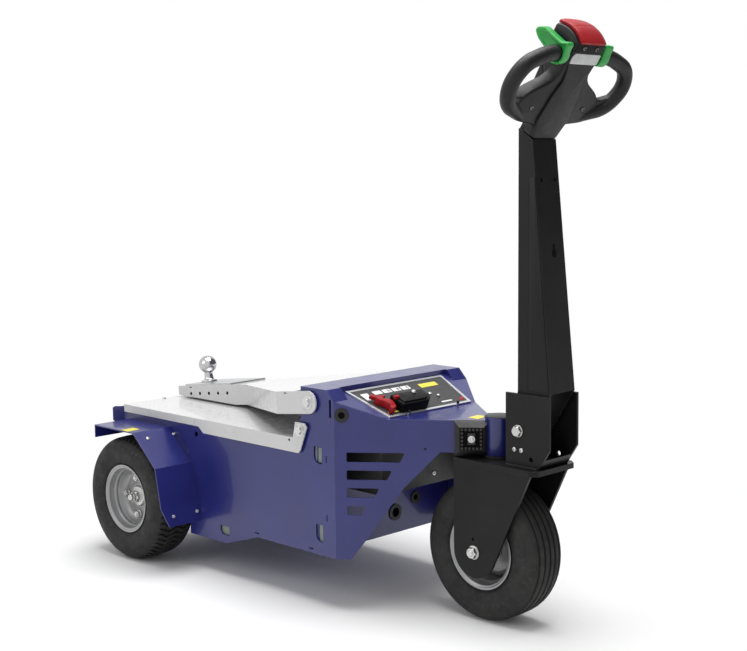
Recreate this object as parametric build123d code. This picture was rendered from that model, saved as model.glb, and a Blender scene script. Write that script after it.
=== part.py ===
from build123d import *
import math
import os

# Electric trolley mover: a low three-wheeled tug with a lifting tow-ball boom and a steering tiller.
# Sizes in millimetres. x points forward, y to the machine's left, z up from the floor.
# Along x everything is measured from the rear axle, and export() moves it to the middle of the length.

# Wheels
WHEELBASE = 1016.0
TYRE_R = 165.0
RIM_R = 92.0
RIM_WALL = 4.0
RIM_WELL_DEPTH = 16.0
BEAD_DEPTH = 10.0
REAR_TYRE_W = 125.0
FRONT_TYRE_W = 115.0
FLANGE_INSET = 8.0
REAR_DISC_OUT = 8.5
HUB_R = 27.0
HUB_CAP_R = 16.0
SPINDLE_R = 11.0
SPINDLE_OUT = 31.0
LUG_COUNT = 4
LUG_PCD = 100.0
LUG_R = 9.0
LUG_H = 13.0
AXLE_SHAFT_R = 15.0
AXLE_TUBE_R = 26.0
FRONT_AXLE_R = 8.0

# Clearances
RUN_GAP = 0.05
SEAT_GAP = 0.3
MOVE_GAP = 5.0
TYRE_SIDE_GAP = 10.0
FORK_SIDE_GAP = 5.5
FORK_CROWN_GAP = 35.0

# Side plates
SHEET = 4.0
SIDE_Y = 231.0
WHEEL_HOUSE_INSET = 47.0
REAR_OVERHANG = 118.0
REAR_LIP = 12.0
REAR_LIP_OUT = 22.0
ARCH_FRONT_GAP = 12.0
ARCH_TOP_GAP = 15.0
SILL_DROP = 38.0
REAR_SILL_DROP = 77.0
RAMP_START_SHARE = 0.2956
RAMP_END_SHARE = 0.5526
SHOULDER_RISE = 46.0

# Hood and nose
HOOD_RISE = 65.0
TOWER_LENGTH = 89.0
HOOD_BACK = 24.0
HOOD_SKIRT = 27.0
RIDGE_BACK = 8.0
SLOPE_STEP = 16.0
SLOPE_ANGLE = 22.3
PANEL_HALF = 185.0
NOSE_ANGLE = 38.5
NOSE_TIP_BACK = 12.6
NOSE_HEIGHT = 75.0
NOSE_HOLE_BACK = 138.0
NOSE_CUT_BACK = (110.0, 84.0, 13.5, 111.0)
NOSE_CUT_STEPS = (43.0, 87.0)
BULKHEAD_BACK = 60.0
SLOT_ROWS = 4
SLOT_START = 28.0
SLOT_REACH = 164.0
SLOT_REACH_STEP = 30.0
SLOT_PITCH = 42.0
SLOT_H = 22.5
SLOT_SLANT = 12.0
SLOT_CORNER_R = 3.0
GROMMET_R = 13.0
GROMMET_LIP = 4.0
GROMMET_INSET = 22.0
BUMPER_LOW = 279.5
BUMPER_LENGTH = 77.5
BUMPER_OUT = 34.0
BUMPER_BEVEL = 11.0
PAD_SIZE = 4.6
PAD_PITCH = 8.6
PAD_H = 1.5

# Control panel, along the slope and across it
PANEL_UP = 5.0
PANEL_DOWN = 127.0
PANEL_MARGIN = 19.0
PANEL_TAPER = 24.0
PANEL_RIM = 7.0
PANEL_RIM_H = 3.0
PANEL_PLATE_H = 2.0
SOCKET_SIZE = (50.0, 104.0, 30.0)
SOCKET_DOWN = 95.0
SOCKET_INSET = 94.0
PLUG_SIZE = (46.0, 34.0, 20.0)
PLUG_EAR = (72.0, 10.0, 8.0)

# Steering
STEER_TRAIL = 18.0
HEAD_TUBE_R = 33.0
STEM_R = 15.0
HEAD_TUBE_RISE = 9.0
CAP_H = 5.0
CAP_LIP = 2.0
BEARING_H = 7.0
BEARING_R = 37.0
FORK_PLATE_T = 12.0
FORK_CHEEK_T = 7.0
FORK_TIP_R = 60.0
FORK_AHEAD = 180.0
FORK_CORNER = 18.0
FORK_FLARE = 8.0

# Tiller
BASE_BACK = 61.0
BASE_LENGTH = 121.0
BASE_H = 163.0
BASE_HALF = 52.0
BASE_T = 6.0
BASE_NOTCH = (30.0, 45.0)
TILT_AHEAD = 35.0
TILT_UP = 80.0
TILT_BOLT_R = 10.0
LOCK_AHEAD = 71.0
LOCK_UP = 20.0
LOCK_HOLE_R = 5.5
COLUMN_BACK = 88.0
COLUMN_FOOT_HALF = 43.0
COLUMN_HEAD_HALF = 40.0
COLUMN_FOOT_DEPTH = 90.0
COLUMN_HEAD_DEPTH = 36.0
COLUMN_T = 3.0
CHEEK_T = 5.0
CHEEK_END_R = 22.0
HEAD_AHEAD = 199.0
HEAD_Z = 1203.0
HEAD_LEAN = 33.3
HEAD_T = 38.0
NECK_V = -134.0
NECK_TO_FOOT = 88.0
GRIP_R = 17.0
GRIP_AHEAD = -22.0
GRIP_TOE = 6.9
GRIP_BEND_R = 45.0
DOME_R = 72.0
DOME_V = 37.0
DOME_W = -43.0
DOME_REAR_W = -71.0
DOME_HALF = 50.0
GRIP_ROUTE = ((-6.0, 61.0), (58.0, 61.0), (123.0, 40.0), (145.0, -4.0), (123.0, -54.0), (50.0, -88.0))
WING_OUT = (0.0, 58.0, 91.0, 100.0, 69.0, 14.0, 0.0)
WING_UP = (31.0, 37.0, 48.0, 66.0, 107.0, 135.0, 154.0)
DOME_FOOT_V = 10.0
BUTTON_T = 6.0
BUTTON_CROWN = 5.0
BUTTON_HALF = 42.0
BUTTON_START = 52.0
BUTTON_END = 114.0
FACE_PLATE = (92.0, 25.0, 2.0)
FACE_PLATE_V = 60.5
THROTTLE_W = 26.0
THROTTLE_SEAT = 9.0
THROTTLE_WALL = 6.0
THROTTLE_EDGE_R = 2.0
REAR_WING = ((8.0, -9.0), (-52.0, 5.0), (-66.0, 17.0), (-65.0, 25.0), (-50.0, 34.0), (-28.0, 30.0), (8.0, 28.0))
FRONT_WING = ((0.0, 24.0), (15.0, 34.0), (20.0, 31.0), (20.0, 15.0), (24.0, 2.0), (20.0, -12.0), (0.0, -17.0))

# Boom, cover and their pivots
BOOM_PIVOT_AHEAD = 34.0
BOOM_PIVOT_DROP = 34.0
BOOM_TAIL_RISE = 3.5
BOOM_HALF_H = 27.0
BOOM_T = 4.0
BOOM_OUT = 9.0
BOOM_TAIL_HALF = 66.0
BOOM_TAIL_AHEAD = 41.0
BOOM_NECK_AHEAD = 38.0
BOOM_FLARE_BACK = 111.0
BOOM_TOP_END = 49.0
BOOM_COVER_GAP = 6.0
TAIL_HOLE_R = 4.5
TAIL_HOLE_PITCH = 40.0
TAIL_HOLE_COUNT = 5
TAIL_HOLE_AHEAD = 55.0
TAIL_HOLE_UP = 5.0
PIVOT_R = 8.0
PIVOT_HEAD = 22.0
BALL_R = 25.0
BALL_AHEAD = 57.0
BALL_NECK_R = 11.0
BALL_BASE_R = 22.0
BALL_BASE_H = 14.0
BALL_STAND = 48.0
BALL_PLATE_T = 4.0
BALL_PLATE_INSET = 4.0
BALL_PLATE_ENDS = (30.0, 170.0)
COVER_PIVOT_AHEAD = 3.0
COVER_PIVOT_UP = 21.0
COVER_RISE = 8.0
COVER_T = 3.0
COVER_OUT = 8.0
COVER_REAR_AHEAD = 23.0
COVER_FLANGE = (20.0, 35.0)
COVER_FRONT_GAP = 28.0
COVER_EAR = (25.0, 16.0, 18.0, 24.0, 7.0)
COVER_STEP = (4.0, 16.0)

# Fenders
FENDER_OUT = 30.0
FENDER_T = 3.0
FENDER_RISE = 31.0
FENDER_REAR = 75.0
FENDER_LIP = 34.0
FENDER_CUT = (19.0, 50.0)

# Inner blocks
CASE_R = 66.0
CASE_HALF = 45.0
CASE_SHOULDER = (25.0, 14.0)
CASE_NECK = 35.0
TUBE_END = 6.0
MOTOR_R = 52.0
MOTOR_LENGTH = 230.0
BATTERY_GAPS = (7.0, 71.0, 37.0, 70.0)
ELECTRONICS_HALF = 150.0
ELECTRONICS_GAPS = (65.0, 109.0, 11.0)

# Heights and places that follow from the sizes above
GRIP_ROOT_V = GRIP_ROUTE[0][1]
REAR_SILL_Z = TYRE_R - REAR_SILL_DROP
SILL_Z = TYRE_R - SILL_DROP
ARCH_TOP_Z = 2 * TYRE_R + ARCH_TOP_GAP
ARCH_FRONT_X = TYRE_R + ARCH_FRONT_GAP
SHOULDER_Z = ARCH_TOP_Z + SHOULDER_RISE
COVER_TOP_Z = SHOULDER_Z + COVER_RISE
FORK_TOP_Z = 2 * TYRE_R + FORK_CROWN_GAP + FORK_PLATE_T
NOSE_BOTTOM_Z = FORK_TOP_Z + BEARING_H
DECK_Z = NOSE_BOTTOM_Z + NOSE_HEIGHT
HOOD_TOP_Z = DECK_Z + HOOD_RISE
HEAD_TOP_Z = DECK_Z + HEAD_TUBE_RISE
PANEL_TOP_HALF = PANEL_HALF - PANEL_MARGIN
PANEL_FOOT_HALF = PANEL_TOP_HALF - PANEL_TAPER
SOCKET_AT = (SOCKET_DOWN, SOCKET_INSET - PANEL_FOOT_HALF)
WHEEL_HOUSE_Y = SIDE_Y - WHEEL_HOUSE_INSET
REAR_WHEEL_Y = WHEEL_HOUSE_Y + TYRE_SIDE_GAP + REAR_TYRE_W / 2
FENDER_OUT_Y = REAR_WHEEL_Y + REAR_TYRE_W / 2 + FENDER_OUT
FORK_HALF = FRONT_TYRE_W / 2 + FORK_SIDE_GAP + FORK_CHEEK_T
REAR_END_X = -REAR_OVERHANG
STEER_X = WHEELBASE + STEER_TRAIL
NOSE_START_X = STEER_X - NOSE_TIP_BACK - SIDE_Y / math.tan(math.radians(NOSE_ANGLE))
HOOD_FRONT_X = NOSE_START_X - HOOD_BACK
TOWER_REAR_X = HOOD_FRONT_X - TOWER_LENGTH
BULKHEAD_X = NOSE_START_X - BULKHEAD_BACK
RAMP_START_X = ARCH_FRONT_X + RAMP_START_SHARE * (BULKHEAD_X - ARCH_FRONT_X)
RAMP_END_X = ARCH_FRONT_X + RAMP_END_SHARE * (BULKHEAD_X - ARCH_FRONT_X)
BOOM_PIVOT = (TOWER_REAR_X + BOOM_PIVOT_AHEAD, HOOD_TOP_Z - BOOM_PIVOT_DROP)
BOOM_TAIL_X = REAR_END_X + BOOM_TAIL_AHEAD
BOOM_HALF = SIDE_Y + BOOM_OUT
BOOM_FALL = BOOM_PIVOT[1] - COVER_TOP_Z - BOOM_TAIL_RISE
BOOM_ANGLE = math.degrees(math.atan(BOOM_FALL / (BOOM_PIVOT[0] - BOOM_TAIL_X)))
COVER_PIVOT = (TOWER_REAR_X + COVER_PIVOT_AHEAD, COVER_TOP_Z + COVER_PIVOT_UP)
COVER_HALF = SIDE_Y + COVER_OUT
COVER_REAR_X = REAR_END_X + COVER_REAR_AHEAD
BASE_REAR_X = STEER_X + BASE_BACK
BASE_FRONT_X = BASE_REAR_X + BASE_LENGTH
BASE_TOP_Z = FORK_TOP_Z + BASE_H
TILT = (BASE_REAR_X + TILT_AHEAD, FORK_TOP_Z + TILT_UP)
HEAD_X = STEER_X + HEAD_AHEAD

# The machine's front end is the belly button's foot, its rear end the rear tyres
CROWN_R = DOME_R + BUTTON_T + BUTTON_CROWN
DOME_X = HEAD_X + DOME_W * math.cos(math.radians(HEAD_LEAN)) + DOME_V * math.sin(math.radians(HEAD_LEAN))
FRONT_END_X = DOME_X + CROWN_R * math.cos(math.radians(BUTTON_START - HEAD_LEAN))
SHIFT_X = -(FRONT_END_X - TYRE_R) / 2

SIDE_VIEW = Plane(origin=(0, 0, 0), x_dir=(1, 0, 0), z_dir=(0, -1, 0))
END_VIEW = Plane(origin=(0, 0, 0), x_dir=(0, 1, 0), z_dir=(1, 0, 0))


def block(x_low, x_high, y_low, y_high, z_low, z_high):
    """Box between two limits on each axis."""
    size = (x_high - x_low, y_high - y_low, z_high - z_low)
    middle = ((x_low + x_high) / 2, (y_low + y_high) / 2, (z_low + z_high) / 2)
    return Pos(*middle) * Box(*size)


def outline(points):
    """Face from the corners of its outline."""
    return make_face(Polyline(*points, close=True))


def across(face, y_low, y_high):
    """Side-view face made solid from y_low to y_high."""
    placed = Pos(0, y_high, 0) * (SIDE_VIEW * face)
    return extrude(placed, amount=y_high - y_low, dir=(0, -1, 0))


def upright(points, z_low, z_high):
    """Plan outline of (x, y) corners made solid from z_low to z_high."""
    face = Pos(0, 0, z_low) * outline(points)
    return extrude(face, amount=z_high - z_low, dir=(0, 0, 1))


def rod_y(x, z, radius, y_low, y_high):
    """Round bar along y."""
    return across(Pos(x, z) * Circle(radius), y_low, y_high)


def hex_y(x, z, across_flats, y_low, y_high):
    """Hexagon bar along y."""
    corner = across_flats / math.sqrt(3)
    return across(Pos(x, z) * RegularPolygon(corner, 6), y_low, y_high)


def rod_z(x, y, radius, z_low, z_high):
    """Round bar along z."""
    return Pos(x, y, (z_low + z_high) / 2) * Cylinder(radius, z_high - z_low)


def ring_about_y(points, x, y, z):
    """Ring turned about the y direction from (y, radius) corners, centred at (x, y, z)."""
    return Pos(x, y, z) * revolve(END_VIEW * outline(points), axis=Axis.Y)


def rounded_slot(points, radius):
    """Slot's face with every corner rounded."""
    face = outline(points)
    return fillet(face.vertices(), radius)


def lobe(tip, radius, points):
    """Plate face with a round end at tip, wide end at points: the tip circle joined by its tangents."""
    rear = tangent_point(tip, radius, points[0], 1)
    front = tangent_point(tip, radius, points[-1], -1)
    return outline([rear, *points, front]) + Pos(*tip) * Circle(radius)


def tangent_point(centre, radius, point, side):
    """Where the line from point touches the circle, on the side given by the sign."""
    away = math.atan2(point[1] - centre[1], point[0] - centre[0])
    reach = math.hypot(point[0] - centre[0], point[1] - centre[1])
    angle = away + side * math.acos(radius / reach)
    return (centre[0] + radius * math.cos(angle), centre[1] + radius * math.sin(angle))


def other_side(shape):
    """The same piece mirrored to the other side of the machine."""
    return mirror(shape, about=Plane.XZ)


def both_sides(name, shape):
    """The left piece and its mirror image, named."""
    return {f"left_{name}": shape, f"right_{name}": other_side(shape)}


# Wheels

def tyre(width, x, y):
    """Tyre carcass: flat crown, round shoulders and bulged sidewalls over the rim's bead seats."""
    half = width / 2
    bead = half - FLANGE_INSET - RIM_WALL
    side = [
        (bead, RIM_R - BEAD_DEPTH), (bead, RIM_R + 1), (half - 5, RIM_R + 6), (half, RIM_R + 24),
        (half, TYRE_R - 29), (half - 7, TYRE_R - 10), (half - 20, TYRE_R - 2), (0, TYRE_R),
    ]
    return ring_about_y(side + [(-a, r) for a, r in reversed(side[:-1])], x, y, TYRE_R)


def rim(width, x, y, disc_at):
    """Pressed rim with flanges, bead seats, drop well, and a centre disc at disc_at from the middle."""
    out = width / 2 - FLANGE_INSET
    inner = out - RIM_WALL
    seat = RIM_R - BEAD_DEPTH
    well = RIM_R - RIM_WELL_DEPTH
    under = well - RIM_WALL
    ledge = inner - 2 * (seat - well) - RIM_WALL
    top = [(out, seat - 2), (out, RIM_R), (inner, RIM_R), (inner, seat), (ledge, well)]
    section = top + [(-a, r) for a, r in reversed(top)] + [(-ledge, under), (ledge, under)]
    half = RIM_WALL / 2
    back, face = disc_at - half, disc_at + half
    disc = [(back, HUB_R), (face, HUB_R), (face, well - 1), (back, well - 1)]
    return ring_about_y(section, x, y, TYRE_R) + ring_about_y(disc, x, y, TYRE_R)


def rear_hub(x, y):
    """Left rear hub: flange behind the disc, nave, castle nut, spindle end, four nuts, shaft inboard."""
    back = REAR_DISC_OUT - RIM_WALL / 2
    face = REAR_DISC_OUT + RIM_WALL / 2
    flange_r = LUG_PCD / 2 + LUG_R + 3
    shaft_end = CASE_HALF + AXLE_SHAFT_R - y
    nave_back = WHEEL_HOUSE_Y + TUBE_END + 3 - y
    nave_r = HUB_R - 1
    section = [
        (shaft_end, 0), (shaft_end, AXLE_SHAFT_R), (nave_back, AXLE_SHAFT_R), (nave_back, nave_r),
        (back - 8, nave_r), (back - 8, flange_r), (back, flange_r), (back, HUB_R),
        (face + 2, HUB_R), (face + 4, HUB_R - 6), (face + SPINDLE_OUT / 2, SPINDLE_R),
        (face + SPINDLE_OUT, SPINDLE_R), (face + SPINDLE_OUT, 0),
    ]
    hub = ring_about_y(section, x, y, TYRE_R)
    hub += hex_y(x, TYRE_R, 2 * HUB_CAP_R, y + face + 4, y + face + SPINDLE_OUT / 2)
    for index in range(LUG_COUNT):
        angle = 2 * math.pi * index / LUG_COUNT
        nut_x = x + LUG_PCD / 2 * math.cos(angle)
        nut_z = TYRE_R + LUG_PCD / 2 * math.sin(angle)
        hub += hex_y(nut_x, nut_z, 2 * LUG_R, y + face, y + face + LUG_H)
    return hub


def front_hub(x):
    """Plain bearing hub of the front wheel, bored for the axle."""
    long = FORK_HALF - FORK_CHEEK_T - MOVE_GAP
    bore = FRONT_AXLE_R + RUN_GAP
    half = RIM_WALL / 2
    slim = HUB_R - 6
    section = [(-long, bore), (-long, slim), (-half, HUB_R), (half, HUB_R), (long, slim), (long, bore)]
    return ring_about_y(section, x, 0, TYRE_R)


def wheels():
    """Tyre, rim and hub of each wheel."""
    return {
        **both_sides("tyre", tyre(REAR_TYRE_W, 0, REAR_WHEEL_Y)),
        **both_sides("rim", rim(REAR_TYRE_W, 0, REAR_WHEEL_Y, REAR_DISC_OUT)),
        **both_sides("hub", rear_hub(0, REAR_WHEEL_Y)),
        "front_tyre": tyre(FRONT_TYRE_W, WHEELBASE, 0),
        "front_rim": rim(FRONT_TYRE_W, WHEELBASE, 0, 0),
        "front_hub": front_hub(WHEELBASE),
    }


# Body

def slope_z(x):
    """Height of the sloping hood face, then the flat deck."""
    return max(DECK_Z, HOOD_TOP_Z - SLOPE_STEP - (x - HOOD_FRONT_X) * math.tan(math.radians(SLOPE_ANGLE)))


def deck_start_x():
    """Where the slope meets the deck."""
    return HOOD_FRONT_X + (HOOD_TOP_Z - SLOPE_STEP - DECK_Z) / math.tan(math.radians(SLOPE_ANGLE))


def d_window(x_low, x_high, z_low, z_high):
    """Side plate's window with its low rear corner rounded wide."""
    width = x_high - x_low
    height = z_high - z_low
    window = Rectangle(width, height)
    corner = min(window.vertices(), key=lambda vertex: vertex.X + vertex.Y)
    window = fillet(corner, min(width, height) * 0.6)
    return Pos((x_low + x_high) / 2, (z_low + z_high) / 2) * window


def side_windows():
    """Every window, slit and hole of the side plate, each placed from the edge that it follows."""
    slit_x = BULKHEAD_X + 31.5
    windows = [
        d_window(BULKHEAD_X - 11, BULKHEAD_X + 16.5, NOSE_BOTTOM_Z - 38, NOSE_BOTTOM_Z + 2),
        d_window(BULKHEAD_X - 7, BULKHEAD_X + 17, SILL_Z + 32, SILL_Z + 73),
        d_window(RAMP_START_X - 21, RAMP_START_X + 15, REAR_SILL_Z + 21, REAR_SILL_Z + 45),
        Pos(slit_x, NOSE_BOTTOM_Z - 24) * Rectangle(3, 16),
        Pos(slit_x, SILL_Z + 93) * Rectangle(3, 16),
        Pos(NOSE_START_X - 12.5, DECK_Z + 22) * Rectangle(7, 42),
        Pos(ARCH_FRONT_X + 33.7, ARCH_TOP_Z + 10.4) * Circle(7),
    ]
    windows += [Pos(x, SILL_Z + 10) * Rectangle(16, 3) for x in (RAMP_END_X - 4, BULKHEAD_X - 26)]
    windows += [Pos(*pivot) * Circle(PIVOT_R) for pivot in (BOOM_PIVOT, COVER_PIVOT)]
    return windows


def rear_lip():
    """Rear end of the side plate, bent outwards to a rounded hook."""
    start = REAR_END_X + REAR_LIP
    end = REAR_END_X - REAR_LIP
    far = SIDE_Y + REAR_LIP_OUT
    strip = [(start, SIDE_Y - SHEET), (start, SIDE_Y), (end, far), (end - SHEET, far - SHEET)]
    height = SHOULDER_Z - ARCH_TOP_Z - SHEET
    low = ARCH_TOP_Z + SHEET
    hook = Pos(end + height / 2, low + height / 2) * Circle(height / 2 + REAR_LIP / 2)
    hook += Pos(start, low + height / 2) * Rectangle(2 * REAR_LIP, height)
    return upright(strip, low, SHOULDER_Z) & across(hook, 0, 2 * SIDE_Y)


def side_plate():
    """Left side plate: wheel cut-out at the rear, stepped sill, tower with a cut corner, windows."""
    cover_lug = COVER_PIVOT[0] - 20
    corners = [
        (REAR_END_X, ARCH_TOP_Z + 8), (REAR_END_X + REAR_LIP, ARCH_TOP_Z), (ARCH_FRONT_X, ARCH_TOP_Z),
        (ARCH_FRONT_X, REAR_SILL_Z), (RAMP_START_X, REAR_SILL_Z), (RAMP_END_X, SILL_Z),
        (NOSE_START_X, SILL_Z), (NOSE_START_X, slope_z(NOSE_START_X)), (HOOD_FRONT_X, HOOD_TOP_Z),
        (TOWER_REAR_X, HOOD_TOP_Z), (TOWER_REAR_X, COVER_PIVOT[1] + 28), (cover_lug, COVER_PIVOT[1] + 12),
        (cover_lug, SHOULDER_Z), (REAR_END_X, SHOULDER_Z),
    ]
    face = outline(corners)
    for window in side_windows():
        face -= window
    return across(face, SIDE_Y - SHEET, SIDE_Y) + rear_lip()


def nose_plane():
    """Outer face of the left nose panel: local x runs forward along the panel, local y runs up."""
    turn = math.radians(NOSE_ANGLE)
    along = (math.cos(turn), -math.sin(turn), 0)
    return Plane(origin=(NOSE_START_X, SIDE_Y, 0), x_dir=along, z_dir=(-math.sin(turn), -math.cos(turn), 0))


def nose_at(x):
    """Distance along the nose panel of the point at this x."""
    return (x - NOSE_START_X) / math.cos(math.radians(NOSE_ANGLE))


def nose_inner_x(y):
    """Where the inner face of the left nose panel stands at this distance from the middle plane."""
    turn = math.radians(NOSE_ANGLE)
    return NOSE_START_X + (SIDE_Y - y - SHEET / math.cos(turn)) / math.tan(turn)


def nose_slots():
    """Four vent slots, each shorter than the one above, with slanted front ends."""
    slots = []
    for row in range(SLOT_ROWS):
        high = NOSE_BOTTOM_Z - 3 - row * SLOT_PITCH
        low = high - SLOT_H
        reach = SLOT_REACH - row * SLOT_REACH_STEP
        corners = [(SLOT_START, low), (reach - SLOT_SLANT, low), (reach, high), (SLOT_START, high)]
        slots.append(rounded_slot(corners, SLOT_CORNER_R))
    return slots


def grommet_spot():
    """Place of the cable grommet on the nose panel."""
    return Pos(GROMMET_INSET - GROMMET_LIP, DECK_Z + GROMMET_R - GROMMET_LIP)


def nose_panel():
    """Left slotted nose panel: follows the hood on top, cut away below for the front wheel."""
    length = SIDE_Y / math.sin(math.radians(NOSE_ANGLE))
    wheel_back = STEER_X - TYRE_R
    foot_back, knee_back, crown_back, end_back = NOSE_CUT_BACK
    knee_rise, crown_drop = NOSE_CUT_STEPS
    cut = [
        (nose_at(wheel_back - foot_back), SILL_Z), (nose_at(wheel_back - knee_back), SILL_Z + knee_rise),
        (nose_at(wheel_back - crown_back), NOSE_BOTTOM_Z - crown_drop), (nose_at(STEER_X - end_back), NOSE_BOTTOM_Z),
    ]
    top = [(length, DECK_Z), (nose_at(deck_start_x()), DECK_Z), (0, slope_z(NOSE_START_X))]
    face = outline([(0, SILL_Z), *cut, (length, NOSE_BOTTOM_Z), *top])
    for slot in nose_slots():
        face -= slot
    face -= grommet_spot() * Circle(GROMMET_R)
    face -= Pos(nose_at(STEER_X - NOSE_HOLE_BACK), NOSE_BOTTOM_Z + 7.5) * Circle(3)
    plane = nose_plane()
    panel = extrude(plane * face, amount=SHEET, dir=plane.z_dir)
    panel -= rod_z(STEER_X, 0, HEAD_TUBE_R, 0, HOOD_TOP_Z)
    panel -= block(NOSE_START_X - 2 * SHEET, NOSE_START_X, 0, SIDE_Y, 0, HOOD_TOP_Z)
    return panel - block(NOSE_START_X, 2 * STEER_X, -SIDE_Y, 0, 0, HOOD_TOP_Z)


def hood_solid(panel_half):
    """Filled body under the hood's outer surface, its ridge step reaching panel_half to each side."""
    foot = DECK_Z - HOOD_SKIRT
    tip = nose_inner_x(0)
    ridge = HOOD_FRONT_X - RIDGE_BACK
    middle = [
        (TOWER_REAR_X, foot), (TOWER_REAR_X, HOOD_TOP_Z), (ridge, HOOD_TOP_Z), (ridge, slope_z(ridge)),
        (deck_start_x(), DECK_Z), (tip, DECK_Z), (tip, foot),
    ]
    ends = [
        (TOWER_REAR_X, foot), (TOWER_REAR_X, HOOD_TOP_Z), (HOOD_FRONT_X, HOOD_TOP_Z),
        (NOSE_START_X, slope_z(NOSE_START_X)), (deck_start_x(), DECK_Z), (tip, DECK_Z), (tip, foot),
    ]
    inner_y = SIDE_Y - SHEET
    solid = across(outline(middle), -inner_y, inner_y)
    for side in (1, -1):
        low, high = sorted((side * panel_half, side * inner_y))
        solid += across(outline(ends), low, high)
    corner = nose_inner_x(inner_y)
    plan = [(0, inner_y), (corner, inner_y), (tip, 0), (corner, -inner_y), (0, -inner_y)]
    return solid & upright(plan, 0, HOOD_TOP_Z)


def hood():
    """Folded hood sheet with its rear wall: ridge, cut ends, sloping face and deck to the head tube."""
    skin = hood_solid(PANEL_HALF) - Pos(-SHEET, 0, -SHEET) * hood_solid(PANEL_HALF + SHEET)
    inner_y = SIDE_Y - SHEET
    rear = block(TOWER_REAR_X, TOWER_REAR_X + SHEET, -inner_y, inner_y, COVER_PIVOT[1] + 20, HOOD_TOP_Z)
    tube = rod_z(STEER_X, 0, HEAD_TUBE_R, 0, HOOD_TOP_Z)
    return skin + rear - tube


def on_slope(face, low, high):
    """Face in the slope's plane (x down the slope, y to the left) made solid between two heights over it."""
    lean = math.radians(SLOPE_ANGLE)
    down = (math.cos(lean), 0, -math.sin(lean))
    out = Vector(math.sin(lean), 0, math.cos(lean))
    start = Vector(HOOD_FRONT_X, 0, HOOD_TOP_Z - SLOPE_STEP) + out * low
    plane = Plane(origin=start, x_dir=down, z_dir=out)
    return extrude(plane * face, amount=high - low, dir=plane.z_dir)


def panel_face(inset):
    """Outline of the control panel, narrower towards the nose."""
    top = PANEL_TOP_HALF - inset
    foot = PANEL_FOOT_HALF - inset
    up = inset - PANEL_UP
    down = PANEL_DOWN - inset
    return outline([(up, -top), (up, top), (down, foot), (down, -foot)])


def control_panel():
    """Silver frame, dark plate, power socket and its red plug with a pull bar on the sloping face."""
    frame = on_slope(panel_face(0) - panel_face(PANEL_RIM), 0, PANEL_RIM_H)
    plate = on_slope(panel_face(PANEL_RIM), 0, PANEL_PLATE_H)
    long, wide, high = SOCKET_SIZE
    socket = on_slope(Pos(*SOCKET_AT) * Rectangle(long, wide), PANEL_PLATE_H, high)
    plug_long, plug_wide, plug_high = PLUG_SIZE
    plug_y = SOCKET_AT[1] - wide / 2 - plug_wide / 2
    body = on_slope(Pos(SOCKET_AT[0], plug_y) * Rectangle(plug_long, plug_wide), PANEL_PLATE_H, plug_high)
    ear_long, ear_wide, ear_low = PLUG_EAR
    ear_y = plug_y - plug_wide / 2 + ear_wide / 2
    ear = Pos(SOCKET_AT[0] - (ear_long - plug_long) / 2, ear_y) * Rectangle(ear_long, ear_wide)
    body += on_slope(ear, ear_low, plug_high)
    return {"panel_frame": frame, "control_plate": plate, "socket_block": socket, "red_plug": body}


def head_tube():
    """Steering head tube, bored for the stem, with its cap."""
    tube = rod_z(STEER_X, 0, HEAD_TUBE_R, NOSE_BOTTOM_Z, HEAD_TOP_Z)
    tube += rod_z(STEER_X, 0, HEAD_TUBE_R + CAP_LIP, HEAD_TOP_Z, HEAD_TOP_Z + CAP_H)
    return tube - rod_z(STEER_X, 0, STEM_R + RUN_GAP, 0, HEAD_TOP_Z - SHEET)


def steering_bearing():
    """Thrust bearing ring between fork and head tube."""
    ring = rod_z(STEER_X, 0, BEARING_R, FORK_TOP_Z + SEAT_GAP, NOSE_BOTTOM_Z)
    return ring - rod_z(STEER_X, 0, STEM_R + RUN_GAP, 0, HEAD_TOP_Z)


def bumper():
    """Left rubber bumper: bevelled block with a grid of small pads on its face and a middle boss."""
    low, high = NOSE_BOTTOM_Z + 0.5, DECK_Z + 1
    plane = nose_plane()
    out = plane.z_dir * -1
    middle = Pos(BUMPER_LOW + BUMPER_LENGTH / 2, (low + high) / 2)
    body = extrude(plane * (middle * Rectangle(BUMPER_LENGTH, high - low)), amount=BUMPER_OUT, dir=out)
    body = chamfer(body.faces().sort_by(Axis(plane.origin, out))[-1].edges(), BUMPER_BEVEL)
    flat_length = BUMPER_LENGTH - 2 * BUMPER_BEVEL
    flat_height = high - low - 2 * BUMPER_BEVEL
    columns = int(flat_length / PAD_PITCH)
    rows = int(flat_height / PAD_PITCH)
    boss = Rectangle(2 * PAD_PITCH, 3 * PAD_PITCH)
    pads = Sketch() + boss
    for column in range(columns):
        for row in range(rows):
            x = (column - (columns - 1) / 2) * PAD_PITCH
            z = (row - (rows - 1) / 2) * PAD_PITCH
            if abs(x) > 1.5 * PAD_PITCH or abs(z) > 1.9 * PAD_PITCH:
                pads += Pos(x, z) * Rectangle(PAD_SIZE, PAD_SIZE)
    raised = Plane(origin=plane.origin + out * BUMPER_OUT, x_dir=plane.x_dir, z_dir=plane.z_dir)
    body += extrude(raised * (middle * pads), amount=PAD_H, dir=out)
    body -= rod_z(STEER_X, 0, HEAD_TUBE_R + SEAT_GAP, 0, HOOD_TOP_Z)
    return Part() + body.solids().sort_by(SortBy.VOLUME)[-1]


def bulkhead_holes():
    """Cable holes of the bulkhead: y, z and radius."""
    return ((29, SILL_Z + 53, 17), (101, SILL_Z + 78, 12))


def bulkhead():
    """Cross plate between the side plates, with two cable grommet holes."""
    inner_y = SIDE_Y - SHEET
    plate = block(BULKHEAD_X - SHEET, BULKHEAD_X, -inner_y, inner_y, SILL_Z, HOOD_TOP_Z - SHEET)
    for y, z, radius in bulkhead_holes():
        plate -= Pos(BULKHEAD_X, y, z) * (Rot(0, 90, 0) * Cylinder(radius, 4 * SHEET))
    return plate


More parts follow.
